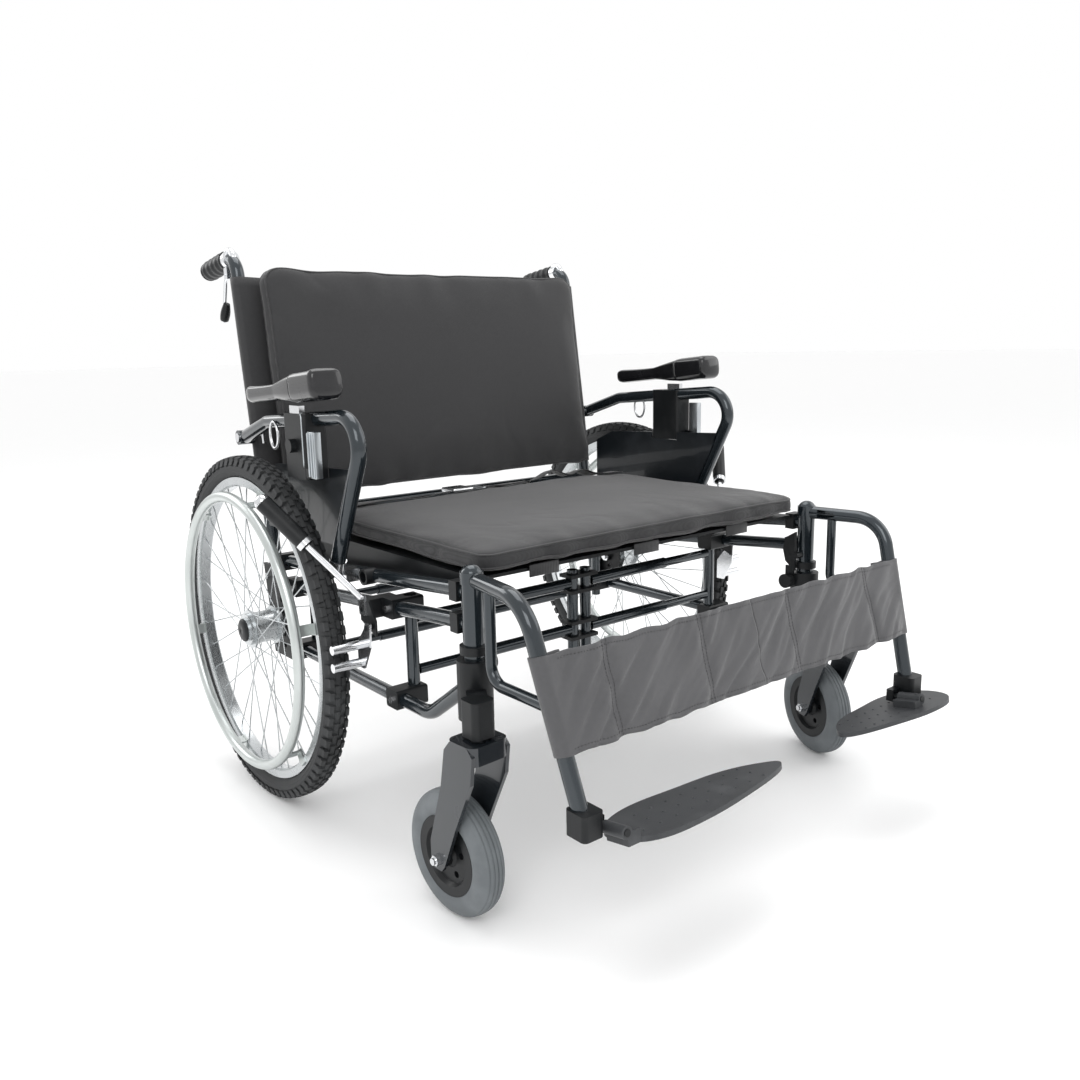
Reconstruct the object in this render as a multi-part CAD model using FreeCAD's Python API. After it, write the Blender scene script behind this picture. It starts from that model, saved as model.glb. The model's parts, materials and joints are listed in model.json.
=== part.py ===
import FreeCAD, Part
import math
import os

os.makedirs("parts", exist_ok=True)

Vector = FreeCAD.Vector

# Frame: millimetres, +Z up, the chair faces -Y, +X is the occupant's left.
# Origin: on the floor, half way across and half way along the chair.
# Shapes are drawn with y = 0 at the rear axle, negative ahead of it, and moved to the origin at the end.

# Driving dimensions: overall
tyreRadius = 305.0
tyreSection = 21.0
wheelHalfTrack = 448.0
axleZ = tyreRadius
railHalfWidth = 373.0
seatHalfWidth = 359.0
backRecline = 8.0

# Fits and clearances
runningFit = 0.05
slideFit = 0.3
bodyGap = 0.4

# Tubes
railRadius = 11.0
railWall = 2.0
postRadius = 15.0
postWall = 2.5
caneRadius = 12.0
caneWall = 2.0
armRadius = 12.0
armWall = 2.0
trussRadius = 10.0
trussWall = 2.0

# Side frames
postY = -557.0
postBottom = 258.0
postTop = 472.0
railFrontZ = 461.0
railSlope = 0.088
lowerRailDrop = 45.0
baseRailZ = 252.0
baseBendY = -440.0
baseRiseZ = 330.0
baseBendRadius = 60.0

# Cross trusses: y, upper tube z, lower tube z, foot of the posts, top of the posts
trusses = ((-350.0, 374.0, 290.0, 248.0, 398.0), (-15.0, 336.0, 244.0, 226.0, 384.0))
trussOuterX = 346.0
trussInnerX = 15.0
trussPostRadius = 10.0

stubY = -292.0

# Back
caneX = 385.0
caneBaseZ = 240.0
caneRefZ = 510.0
caneRefY = 67.0
caneTopZ = 952.0
handleLength = 132.0
handleBend = 34.0
gripRadius = 16.5
gripLength = 96.0
backBottom = 2.0
backHeight = 424.0
backThick = 45.0
backCorner = 32.0
backHalfWidth = 368.0
slingThick = 3.0
backBarDrop = 20.0
backBarRadius = 9.0

# Seat
seatFront = -559.0
seatRear = -50.0
seatBottom = 472.0
seatThick = 43.0
seatCorner = 30.0
seatBoardThick = 5.0
seatBoardInset = 8.0
beltWidth = 38.0
beltThick = 2.5
beltClearance = 2.0
beltInset = 6.0
seatTopFillet = 12.0
buckleSpan = (-100.0, -30.0)
buckleThick = 11.0

# Arms
armX = 412.0
armRearZ = 634.0
armRise = (-25.0, 667.0)
armFrontCorner = (-367.0, 691.0)
armFootZ = 444.0
armFootSlope = 0.514
armRearBend = 50.0
armFrontBend = 45.0
armPinRadius = 5.0
armEyeHalf = armRadius + 0.5
armRingRadius = caneRadius + 1.8
armRingHalf = 13.0
boxFront = -212.0
boxRear = -140.0
boxInner = 398.5
boxOuter = 438.0
boxBottom = 586.0
boxTop = 688.0
stemThick = 9.4
stemDepth = 34.0
stemX = 430.0
stemBottom = 594.0
padInner = 398.5
padOuter = 455.0
padFront = -276.0
padRear = -15.0
padFrontTop = 762.0
padThick = 48.0
padTilt = 6.2
panelThick = 3.0

# Rear wheels
rimInner = 252.0
rimOuter = 264.0
rimHalfWidth = 12.0
hubRadius = 28.0
hubInnerX = 412.0
hubOuterX = 472.0
flangeRadius = 34.0
spokeRadius = 1.1
spokeCount = 36
axlePinRadius = 6.0
handrimX = 485.0
handrimRadius = 237.0
handrimTube = 9.0
tabCount = 6
plateInnerX = caneX + caneRadius
plateThick = 6.0

# Casters
casterStemX = 408.0
casterStemY = -611.0
casterRadius = 91.5
casterHalfWidth = 23.0
casterHubRadius = 58.0
casterHubHalf = 20.0
casterTrail = 58.0
casterYaw = {"r": 4.0, "l": -19.0}
forkCrownTop = 277.0
forkCrownThick = 26.0
forkLegGap = 27.0
forkLegThick = 6.0
stemPinRadius = 6.0
casterPinRadius = 4.0
housingSize = 36.0
housingTop = 332.0
clampRadius = 25.0
clampTop = 366.0

# Leg rests
hangerTubeRadius = 11.5
hangerTopZ = 478.0
hangerCorner = (394.0, -697.0, 478.0)
hangerFoot = (368.0, -775.0, 198.0)
hangerBend = 58.0
hangerBarY = -606.0
hangerBarRadius = 8.0
hangerLoopZ = 346.0
pivotPinLength = 55.0
strapLow = 289.0
strapHigh = 411.0
strapThick = 5.0
strapOuterX = 389.0
strapSeamGap = 0.5
footHingeX = 338.0
footHingeZ = 192.0
footPinRadius = 5.0
footTilt = 10.0
footDepth = 108.0
footThick = 7.0
footDrop = 12.0
footRear = -732.0
footSpan = {"r": (8.0, 330.0), "l": (160.0, 430.0)}

# Wheel locks
lockPivot = (-325.0, 397.0)
shoePivot = (-343.0, 372.0)
lockPinRadius = 4.0
lockPlateX = 408.0
lockPlateThick = 3.6
lockGripEnd = (517.0, -222.0, 562.0)
lockGripRadius = 13.0
lockGripLength = 92.0
lockRodRadius = 5.0
shoeRodRadius = 7.0
shoeRodY = -320.0
shoeRodZs = (341.0, 313.0)
shoeRodEnd = 468.0

# Attendant brake levers
brakePinRadius = 2.5
brakeLength = 92.0
brakeDroop = 58.0


# Helpers
def at(x, fromAxle, z):
    """Point from a place measured fore and aft from the rear axle."""
    return Vector(x, fromAxle, z)


def rod(start, end, radius):
    span = end.sub(start)
    return Part.makeCylinder(radius, span.Length, start, span)


def pipe(start, end, radius, wall):
    return rod(start, end, radius).cut(rod(start, end, radius - wall))


def block(x0, x1, y0, y1, z0, z1):
    """Box between two corners, with y measured from the rear axle."""
    return Part.makeBox(x1 - x0, y1 - y0, z1 - z0, at(x0, y0, z0))


def roundEdges(shape, radius, direction):
    """Fillet the straight edges that run along one direction."""
    edges = []
    for edge in shape.Edges:
        if edge.Curve.TypeId != "Part::GeomLine":
            continue
        if abs(edge.tangentAt(edge.FirstParameter).dot(direction)) > 0.999:
            edges.append(edge)
    return shape.makeFillet(radius, edges)


def bentPath(points, radii):
    """Straight runs joined by tangent arcs, one radius for each inner point."""
    edges = []
    start = points[0]
    for i, radius in enumerate(radii, 1):
        inward = points[i].sub(points[i - 1]).normalize()
        outward = points[i + 1].sub(points[i]).normalize()
        turn = inward.getAngle(outward)
        reach = radius * math.tan(turn / 2)
        first = points[i].sub(inward * reach)
        last = points[i].add(outward * reach)
        bisector = outward.sub(inward).normalize()
        middle = points[i].add(bisector * (radius / math.cos(turn / 2) - radius))
        edges.append(Part.LineSegment(start, first).toShape())
        edges.append(Part.Arc(first, middle, last).toShape())
        start = last
    edges.append(Part.LineSegment(start, points[-1]).toShape())
    return Part.Wire(edges)


def sweep(path, radius):
    start = path.Edges[0].Vertexes[0].Point
    along = path.Edges[0].tangentAt(path.Edges[0].FirstParameter)
    ring = Part.Wire([Part.Circle(start, along, radius).toShape()])
    return path.makePipeShell([ring], True, True)


def bentRod(points, radii, radius):
    return sweep(bentPath(points, radii), radius)


def bentPipe(points, radii, radius, wall):
    path = bentPath(points, radii)
    return sweep(path, radius).cut(sweep(path, radius - wall))


def sidePlate(outline, x0, thick):
    """Flat plate square to X from an outline of (y from axle, z) points."""
    points = [at(x0, y, z) for y, z in outline]
    points.append(points[0])
    return Part.Face(Part.makePolygon(points)).extrude(Vector(thick, 0, 0))


def revolveX(outline, x, y, z):
    """Solid of revolution about an axis along X through (x, y, z); outline is (x offset, radius)."""
    points = [Vector(x + dx, y, z + r) for dx, r in outline]
    points.append(points[0])
    return Part.Face(Part.makePolygon(points)).revolve(Vector(x, y, z), Vector(1, 0, 0), 360)


def mirrored(shape):
    return shape.mirror(Vector(0, 0, 0), Vector(1, 0, 0))


def forSide(shape, side):
    """Shapes are drawn on the left, at +X, and mirrored for the right."""
    return shape if side == "l" else mirrored(shape)


def pair(shapes):
    """Left pieces and their mirror images as one group of separate solids."""
    solids = []
    for shape in shapes:
        solids.append(shape)
        solids.append(mirrored(shape))
    return Part.makeCompound(solids)


def save(name, shape):
    shape.exportStep("parts/" + name + ".step")


def railZ(y):
    return railFrontZ - railSlope * (y - postY)


def caneY(z):
    return caneRefY + (z - caneRefZ) * math.tan(math.radians(backRecline))


# Side frames
def frontPost():
    post = pipe(at(railHalfWidth, postY, postBottom), at(railHalfWidth, postY, postTop), postRadius,
                postWall)
    plugTop = postBottom + 8
    plug = rod(at(railHalfWidth, postY, postBottom), at(railHalfWidth, postY, plugTop),
               postRadius - postWall)
    return post.fuse(plug)


def seatRail(drop):
    front = postY + postRadius
    rear = caneY(railZ(caneY(caneBaseZ)) - drop) - caneRadius
    tube = pipe(at(railHalfWidth, front - 6, railZ(front - 6) - drop),
                at(railHalfWidth, rear + 6, railZ(rear + 6) - drop), railRadius, railWall)
    tube = tube.cut(rod(at(railHalfWidth, postY, postBottom), at(railHalfWidth, postY, postTop),
                        postRadius))
    return tube.cut(caneCore())


def caneCore():
    return rod(at(caneX, caneY(caneBaseZ - 30), caneBaseZ - 30),
               at(caneX, caneY(caneRefZ), caneRefZ), caneRadius + 0.5)


def baseRail():
    path = [at(railHalfWidth, caneY(baseRailZ) - caneRadius - 1, baseRailZ),
            at(railHalfWidth, baseBendY, baseRailZ),
            at(railHalfWidth, postY + 6, baseRiseZ)]
    tube = bentPipe(path, [baseBendRadius], railRadius, railWall)
    return largest(tube.cut(rod(at(railHalfWidth, postY, postBottom), at(railHalfWidth, postY, postTop),
                                clampRadius)))


# Cross trusses
def trussTubes(truss):
    y, upperZ, lowerZ = truss[:3]
    inner = trussInnerX + trussPostRadius
    outer = trussOuterX - trussPostRadius
    middle = (inner + outer) * 0.6
    tubes = []
    for z in (upperZ, lowerZ):
        thick = pipe(at(inner, y, z), at(middle, y, z), trussRadius, trussWall)
        thin = pipe(at(middle, y, z), at(outer, y, z), trussRadius - trussWall, trussWall)
        tubes.append(thick.fuse(thin))
    return tubes


def trussPost(truss, x):
    return pipe(at(x, truss[0], truss[3]), at(x, truss[0], truss[4]), trussPostRadius, trussWall)


def trussBores(truss):
    """Everything of a truss that a clamp has to leave room for."""
    y, upperZ, lowerZ, foot, top = truss
    bores = [rod(at(x, y, foot - 40), at(x, y, top + 40), trussPostRadius)
             for x in (-trussOuterX, -trussInnerX, trussInnerX, trussOuterX)]
    bores += [rod(at(-trussOuterX, y, z), at(trussOuterX, y, z), trussRadius) for z in (upperZ, lowerZ)]
    return bores


def trussLinks(truss):
    """Centre plates that join the two halves of a truss, drawn across the middle."""
    y, upperZ, lowerZ = truss[:3]
    links = []
    for z in (upperZ, lowerZ):
        for way in (-1, 1):
            middle = z + way * (trussRadius + 4)
            plate = block(-trussInnerX - 16, trussInnerX + 16, y - 16, y + 16, middle - 3, middle + 3)
            for bore in trussBores(truss):
                plate = plate.cut(bore)
            links.append(largest(plate))
    return links


def largest(shape):
    return max(shape.Solids, key=lambda solid: solid.Volume)


def clampBlock(x0, x1, y, halfDepth, z0, z1, holes):
    """A tube clamp: a rounded block with its tubes cut out of it."""
    body = block(x0, x1, y - halfDepth, y + halfDepth, z0, z1)
    body = roundEdges(body, 4, Vector(1, 0, 0))
    for hole in holes:
        body = body.cut(hole)
    return largest(body)


def railBore(drop):
    return rod(at(railHalfWidth, postY, railZ(postY) - drop), at(railHalfWidth, 80, railZ(80) - drop),
               railRadius)


def baseBore():
    return rod(at(railHalfWidth, baseBendY + 40, baseRailZ), at(railHalfWidth, 60, baseRailZ), railRadius)


def frameClamps():
    clamps = []
    reach = railHalfWidth + railRadius + 3
    inner = trussOuterX - trussPostRadius - 4
    for truss in trusses:
        y = truss[0]
        bores = trussBores(truss) + [caneCore()]
        topZ = railZ(y) - lowerRailDrop
        clamps.append(clampBlock(inner, reach, y, 17, topZ - 15, topZ + 15,
                                 bores + [railBore(lowerRailDrop)]))
        clamps.append(clampBlock(inner, reach, y, 17, baseRailZ - 14, baseRailZ + 16, bores + [baseBore()]))
    post = rod(at(railHalfWidth, postY, postBottom), at(railHalfWidth, postY, postTop), postRadius)
    collar = rod(at(railHalfWidth, postY, baseRiseZ + 44), at(railHalfWidth, postY, baseRiseZ + 56),
                 postRadius + 5)
    clamps.append(collar.cut(post))
    frontY = postY + postRadius + 11
    for drop in (0.0, lowerRailDrop):
        z = railZ(frontY) - drop
        half = railRadius + 3
        body = block(railHalfWidth - half, railHalfWidth + half, frontY - 8, frontY + 10, z - half,
                     z + half)
        clamps.append(largest(body.cut(railBore(drop)).cut(post)))
    for drop in (0.0, lowerRailDrop):
        z = railZ(40) - drop
        y = caneY(z) - caneRadius
        half = railRadius + 4
        body = block(railHalfWidth - half, railHalfWidth + half, y - 20, y - 2, z - half, z + half)
        clamps.append(largest(body.cut(railBore(drop)).cut(caneCore())))
    clamps.append(crossStub())
    clamps.append(latchSector())
    return clamps


def crossStub():
    """Open end of the seat's cross tube, clamped under the upper rail."""
    start = at(railHalfWidth, stubY, railZ(stubY))
    body = rod(start, start.add(Vector(railRadius + 10, 0, 0)), railRadius + 2)
    body = body.cut(rod(start, start.add(Vector(railRadius + 20, 0, 0)), railRadius - railWall))
    return largest(body.cut(railBore(0.0)))


def latchSector():
    """Toothed-arc plate and round knob behind the front post, which hold the leg rest."""
    outline = [(postY + postRadius, 444), (postY + postRadius + 20, 432), (postY + postRadius + 26, 410),
               (postY + postRadius + 20, 388), (postY + postRadius, 372)]
    x = railHalfWidth - clampRadius - 6
    plate = sidePlate([(y - 14, z) for y, z in outline], x, 6)
    knob = rod(at(x - 10, postY + 14, 352), at(x, postY + 14, 352), 13)
    arm = sidePlate([(postY + 2, 380), (postY + 20, 380), (postY + 20, 350), (postY + 6, 350)], x, 4)
    stud = rod(at(x, postY, 400), at(railHalfWidth, postY, 400), 6)
    body = plate.multiFuse([knob, arm, stud])
    body = body.cut(rod(at(railHalfWidth, postY, postBottom), at(railHalfWidth, postY, postTop),
                        postRadius))
    return largest(body.cut(railBore(lowerRailDrop)))


def frameBolts():
    bolts = []
    out = Vector(1, 0, 0)
    for truss in trusses:
        for z in (railZ(truss[0]) - lowerRailDrop, baseRailZ):
            bolts.append(headOnly(at(railHalfWidth + railRadius + 3, truss[0], z), out, 5.5, 4))
    for z in (axleZ - 42, axleZ + 78):
        bolts.append(headOnly(at(plateInnerX + plateThick, caneY(z), z), out, 6.0, 4.0))
    return bolts


def headOnly(start, direction, radius, height):
    across = direction.cross(Vector(0, 0, 1)).normalize()
    second = direction.cross(across)
    corners = []
    for i in range(7):
        angle = math.radians(60 * i)
        corners.append(start.add(across * (radius * math.cos(angle))).add(second * (radius * math.sin(angle))))
    return Part.Face(Part.makePolygon(corners)).extrude(direction * height)


# Seat
def seatCushion():
    body = block(-seatHalfWidth, seatHalfWidth, seatFront, seatRear, seatBottom, seatBottom + seatThick)
    body = roundEdges(body, seatCorner, Vector(0, 0, 1))
    top = [edge for edge in body.Edges if edge.BoundBox.ZMin > seatBottom + seatThick - 0.1]
    return body.makeFillet(seatTopFillet, top)


def seatBase():
    half = seatHalfWidth - seatBoardInset
    boardBottom = seatBottom - seatBoardThick
    board = block(-half, half, postY + 20, seatRear - 4, boardBottom, seatBottom)
    flange = sidePlate([(postY + 24, boardBottom), (postY + 24, railZ(postY) + 2), (seatRear - 6,
            railZ(seatRear) - 4),
                        (seatRear - 6, boardBottom)], half - 4, 4)
    return board.fuse(flange).fuse(mirrored(flange))


def beltFront():
    return seatRear - beltWidth - beltInset


def lapBelt():
    z = seatBottom + seatThick + beltClearance
    y = beltFront()
    return block(-seatHalfWidth + 14, seatHalfWidth - 40, y, y + beltWidth, z, z + beltThick)


def beltBuckle():
    z = seatBottom + seatThick + beltClearance + beltThick
    y = beltFront() - 2
    body = block(buckleSpan[0], buckleSpan[1], y, y + beltWidth + 4, z, z + buckleThick)
    return roundEdges(body, 5, Vector(0, 0, 1))


# Back
def tilted(shape):
    """Lean a piece drawn upright about the cane reference point by the recline."""
    turned = shape.copy()
    turned.rotate(at(0, caneRefY, caneRefZ), Vector(1, 0, 0), -backRecline)
    return turned


def caneSpan():
    return (caneTopZ - caneRefZ) / math.cos(math.radians(backRecline))


def canePath():
    top = caneRefZ + caneSpan()
    foot = caneRefZ - (caneRefZ - caneBaseZ) / math.cos(math.radians(backRecline))
    return [at(caneX, caneRefY, foot), at(caneX, caneRefY, top), at(caneX, caneRefY + handleLength, top)]


def caneSolid():
    return tilted(bentRod(canePath(), [handleBend], caneRadius))


def cane():
    return tilted(bentPipe(canePath(), [handleBend], caneRadius, caneWall))


def handlePoint(along):
    """Point on the push handle's centre line, before the lean."""
    return at(caneX, caneRefY + along, caneRefZ + caneSpan())


def grip():
    start = handleLength - gripLength
    body = rod(handlePoint(start), handlePoint(handleLength + 4), gripRadius)
    return tilted(body).cut(caneSolid())


def brakeRing():
    """Clamp on the handle just ahead of the grip."""
    start = handleLength - gripLength - 16
    return tilted(rod(handlePoint(start), handlePoint(start + 14), caneRadius + 4))


def brakeMount():
    """Clamp with a fork below it and the pin that the lever turns on."""
    y, z = brakePivot()
    lug = block(caneX - 10, caneX + 10, y - 7, y + 7, z - 7, z + 17)
    slot = block(caneX - 4, caneX + 4, y - 20, y + 20, z - 20, z + 9)
    body = brakeRing().fuse(lug.cut(slot)).cut(caneSolid()).cut(gripEnvelope())
    return largest(body).fuse(rod(at(caneX - 12, y, z), at(caneX + 12, y, z), brakePinRadius))


def gripEnvelope():
    start = handleLength - gripLength
    return tilted(rod(handlePoint(start - 0.2), handlePoint(handleLength + 4), gripRadius))


def brakePivot():
    """Pivot of the attendant lever: below the ring, as (y from axle, z)."""
    lean = math.radians(backRecline)
    along = handleLength - gripLength - 9
    y = caneRefY + along * math.cos(lean) + (caneTopZ - caneRefZ) * math.tan(lean)
    z = caneTopZ - along * math.sin(lean)
    return (y, z - 27)


def brakeLever():
    y, z = brakePivot()
    droop = math.radians(brakeDroop)
    tip = (y + brakeLength * math.cos(droop), z - brakeLength * math.sin(droop))
    elbow = (y + 26, z - 8)
    eye = rod(at(caneX - 3.6, y, z), at(caneX + 3.6, y, z), 6.4)
    blade = bentRod([at(caneX, y + 3, z - 1), at(caneX, elbow[0], elbow[1]),
                     at(caneX, tip[0], tip[1])], [14], 3.4)
    knob = Part.makeSphere(6, at(caneX, tip[0], tip[1]))
    bore = rod(at(caneX - 9, y, z), at(caneX + 9, y, z), brakePinRadius + runningFit)
    return eye.fuse(blade).fuse(knob).cut(bore)


def backCushion():
    front = caneRefY - caneRadius - slingThick - backThick - 1
    body = block(-backHalfWidth, backHalfWidth, front, front + backThick, caneRefZ + backBottom,
                 caneRefZ + backBottom + backHeight)
    body = roundEdges(body, backCorner, Vector(0, 1, 0))
    edges = [edge for edge in body.Edges if edge.BoundBox.YMax < front + 0.1]
    return tilted(body.makeFillet(12, edges))


def backSling():
    rear = caneRefY - caneRadius - 0.5
    body = block(-caneX - caneRadius, caneX + caneRadius, rear - slingThick, rear,
                 caneRefZ + 12, caneRefZ + 408)
    body = tilted(body)
    for x in (-caneX, caneX):
        body = body.cut(armRing(x, armRingRadius + 0.5, armRingHalf + 0.5))
    return body


def backBar():
    z = caneRefZ - backBarDrop
    tube = pipe(at(-caneX + caneRadius, caneRefY, z), at(caneX - caneRadius, caneRefY, z),
                backBarRadius, trussWall)
    return tilted(tube)


# Arms
def armFoot():
    return armFrontCorner[0] + (armFrontCorner[1] - armFootZ) * armFootSlope


def armRear():
    return caneY(armRearZ)


def armTube():
    points = [at(armX, armRear(), armRearZ), at(armX, armRise[0], armRise[1]),
              at(armX, armFrontCorner[0], armFrontCorner[1]), at(armX, armFoot(), armFootZ)]
    tube = bentPipe(points, [armRearBend, armFrontBend], armRadius, armWall)
    eye = rod(at(armX - armEyeHalf, armRear(), armRearZ), at(armX + armEyeHalf, armRear(), armRearZ),
              armRadius + 1)
    bore = rod(at(armX - 20, armRear(), armRearZ), at(armX + 20, armRear(), armRearZ),
               armPinRadius + runningFit)
    return tube.fuse(eye).cut(bore)


def armSolid():
    points = [at(armX, armRear(), armRearZ), at(armX, armRise[0], armRise[1]),
              at(armX, armFrontCorner[0], armFrontCorner[1]), at(armX, armFoot(), armFootZ)]
    return bentRod(points, [armRearBend, armFrontBend], armRadius)


def armBox():
    body = block(boxInner, boxOuter, boxFront, boxRear, boxBottom, boxTop)
    body = roundEdges(body, 5, Vector(0, 0, 1))
    middle = (boxFront + boxRear) / 2
    slot = block(stemX - stemThick / 2 - slideFit, stemX + stemThick / 2 + slideFit,
                 middle - stemDepth / 2 - slideFit, middle + stemDepth / 2 + slideFit, boxBottom + 4, boxTop + 10)
    body = body.cut(slot).cut(armSolid())
    knob = rod(at(boxOuter, middle, boxBottom + 52), at(boxOuter + 11, middle, boxBottom + 52), 11)
    return largest(body).fuse(knob)


def armStem():
    middle = (boxFront + boxRear) / 2
    return block(stemX - stemThick / 2, stemX + stemThick / 2, middle - stemDepth / 2,
                 middle + stemDepth / 2,
                 stemBottom, padUnder(middle) - 1)


def padUnder(y):
    return padFrontTop - padThick - (y - padFront) * math.tan(math.radians(padTilt)) - 2


def armPad():
    body = block(padInner, padOuter, padFront, padRear, padFrontTop - padThick, padFrontTop)
    body = roundEdges(body, 20, Vector(0, 0, 1))
    edges = [edge for edge in body.Edges if edge.BoundBox.ZMin > padFrontTop - 0.1]
    body = body.makeFillet(9, edges)
    body.rotate(at(0, padFront, padFrontTop), Vector(1, 0, 0), -padTilt)
    return body.cut(armStem())


def sidePanel():
    front = armFrontCorner[0] + 24
    outline = [(34, 478), (34, 572), (-18, 594), (front + 26, 606), (front + 34, 580), (armFoot() - 16,
            478)]
    plate = sidePlate(outline, armX - armRadius - panelThick, panelThick)
    recess = block(armX - 30, armX, boxFront - bodyGap, boxRear + bodyGap, boxBottom - bodyGap, boxTop)
    return plate.cut(recess)


def armSocket():
    """Cup on the upper rail that takes the foot of the arm tube."""
    down = Vector(0, armFootSlope, -1).normalize()
    foot = at(armX, armFoot(), armFootZ)
    mouth = foot.sub(down * 20)
    cup = rod(mouth, foot.add(down * 6), armRadius + 1.5)
    cup = cup.cut(rod(mouth.sub(down * 2), foot.add(down * slideFit), armRadius + slideFit))
    y = armFoot()
    z = railZ(y)
    arm = block(railHalfWidth, armX - armRadius + 2, y - 13, y + 13, z - 10, z + 10)
    arm = arm.cut(railBore(0.0))
    arm = arm.cut(rod(mouth.sub(down * 40), foot.add(down * slideFit), armRadius + slideFit))
    return largest(cup.fuse(arm))


def armRing(x, radius, half):
    """Cylinder round a cane at the height of the arm pivot."""
    return tilted(rod(at(x, caneRefY, armRearZ - half), at(x, caneRefY, armRearZ + half), radius))


def armPivot():
    """Clamp on the cane with the pin that the arm turns on."""
    y = armRear()
    face = armX - armEyeHalf - bodyGap
    body = armRing(caneX, armRingRadius, armRingHalf).fuse(rod(at(caneX, y, armRearZ), at(face, y,
            armRearZ), 10))
    body = largest(body.cut(caneSolid()))
    far = armX + armEyeHalf + bodyGap
    pin = rod(at(face - 1, y, armRearZ), at(far + 1, y, armRearZ), armPinRadius)
    head = rod(at(far, y, armRearZ), at(far + 1.8, y, armRearZ), 8)
    return body.multiFuse([pin, head])


# Rear wheels
def rearTyre():
    body = Part.makeTorus(tyreRadius - tyreSection, tyreSection, at(wheelHalfTrack, 0, axleZ), Vector(1,
            0, 0))
    half = tyreSection + 5
    seat = rod(at(wheelHalfTrack - half, 0, axleZ), at(wheelHalfTrack + half, 0, axleZ), rimOuter)
    flange = revolveX([(-rimHalfWidth, rimOuter - 2), (-rimHalfWidth, rimOuter + 4), (-rimHalfWidth + 3,
            rimOuter + 4),
                       (-rimHalfWidth + 3, rimOuter - 2)], wheelHalfTrack, 0, axleZ)
    return body.cut(seat).cut(flange).cut(flippedAbout(flange))


def flippedAbout(shape):
    return shape.mirror(at(wheelHalfTrack, 0, 0), Vector(1, 0, 0))


def rearWheel():
    h = rimHalfWidth
    rim = revolveX([(-h, rimInner + 3), (-h + 3, rimInner), (h - 3, rimInner), (h, rimInner + 3), (h,
            rimOuter + 4),
                    (h - 3, rimOuter + 4), (h - 3, rimOuter), (-h + 3, rimOuter), (-h + 3, rimOuter + 4),
                    (-h, rimOuter + 4)], wheelHalfTrack, 0, axleZ)
    hub = rod(at(hubInnerX, 0, axleZ), at(hubOuterX, 0, axleZ), hubRadius)
    flanges = (hubInnerX + 6, hubOuterX - 10)
    for x in flanges:
        hub = hub.fuse(rod(at(x, 0, axleZ), at(x + 4, 0, axleZ), flangeRadius))
    hub = hub.fuse(rod(at(hubOuterX, 0, axleZ), at(hubOuterX + 4, 0, axleZ), hubRadius - 8))
    wheel = [rim, hub]
    for i in range(spokeCount):
        turn = 360.0 / spokeCount * i
        lead = 58.0 if (i // 2) % 2 else -58.0
        x = flanges[i % 2] + 2
        inner = spokePoint(x, flangeRadius - 3, turn + lead)
        outer = spokePoint(wheelHalfTrack + (2 if i % 2 else -2), rimInner + 2, turn)
        wheel.append(rod(inner, outer, spokeRadius))
    fused = wheel[0].multiFuse(wheel[1:])
    bore = rod(at(hubInnerX - 1, 0, axleZ), at(hubOuterX - 8, 0, axleZ), axlePinRadius + runningFit)
    return fused.cut(bore)


def spokePoint(x, radius, degrees):
    angle = math.radians(degrees)
    return at(x, radius * math.cos(angle), axleZ + radius * math.sin(angle))


def handrim():
    ring = Part.makeTorus(handrimRadius, handrimTube, at(handrimX, 0, axleZ), Vector(1, 0, 0))
    tabs = []
    face = wheelHalfTrack + rimHalfWidth
    for i in range(tabCount):
        tab = block(face, handrimX, -9, 9, axleZ + handrimRadius + handrimTube - 5,
                    axleZ + handrimRadius + handrimTube - 2)
        foot = block(face, face + 3, -9, 9, axleZ + handrimRadius + 2, axleZ + rimOuter)
        body = tab.fuse(foot)
        body.rotate(at(0, 0, axleZ), Vector(1, 0, 0), 360.0 / tabCount * i + 18)
        tabs.append(body)
    return ring.multiFuse(tabs)


def axlePlate():
    outline = [(-34, axleZ - 64), (caneY(axleZ - 64) + 14, axleZ - 64), (caneY(axleZ + 100) + 14,
            axleZ + 100),
               (caneY(axleZ + 100) - 22, axleZ + 100), (-34, axleZ + 30)]
    plate = sidePlate(outline, plateInnerX, plateThick)
    plate = plate.cut(rod(at(plateInnerX - 5, 0, axleZ), at(plateInnerX + 15, 0, axleZ), axlePinRadius))
    for i in (-2, -1, 1, 2, 3):
        z = axleZ + 21 * i
        plate = plate.cut(rod(at(plateInnerX - 5, -4 if i < 0 else 0, z), at(plateInnerX + 15,
                -4 if i < 0 else 0, z), 5))
    return plate


def axlePin():
    pin = rod(at(plateInnerX - 14, 0, axleZ), at(hubOuterX - 12, 0, axleZ), axlePinRadius)
    nut = headOnly(at(plateInnerX - 9, 0, axleZ), Vector(1, 0, 0), 11, 8.9)
    spacer = rod(at(plateInnerX + plateThick, 0, axleZ), at(hubInnerX - bodyGap, 0, axleZ), 10)
    return pin.fuse(nut).fuse(spacer)


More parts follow.
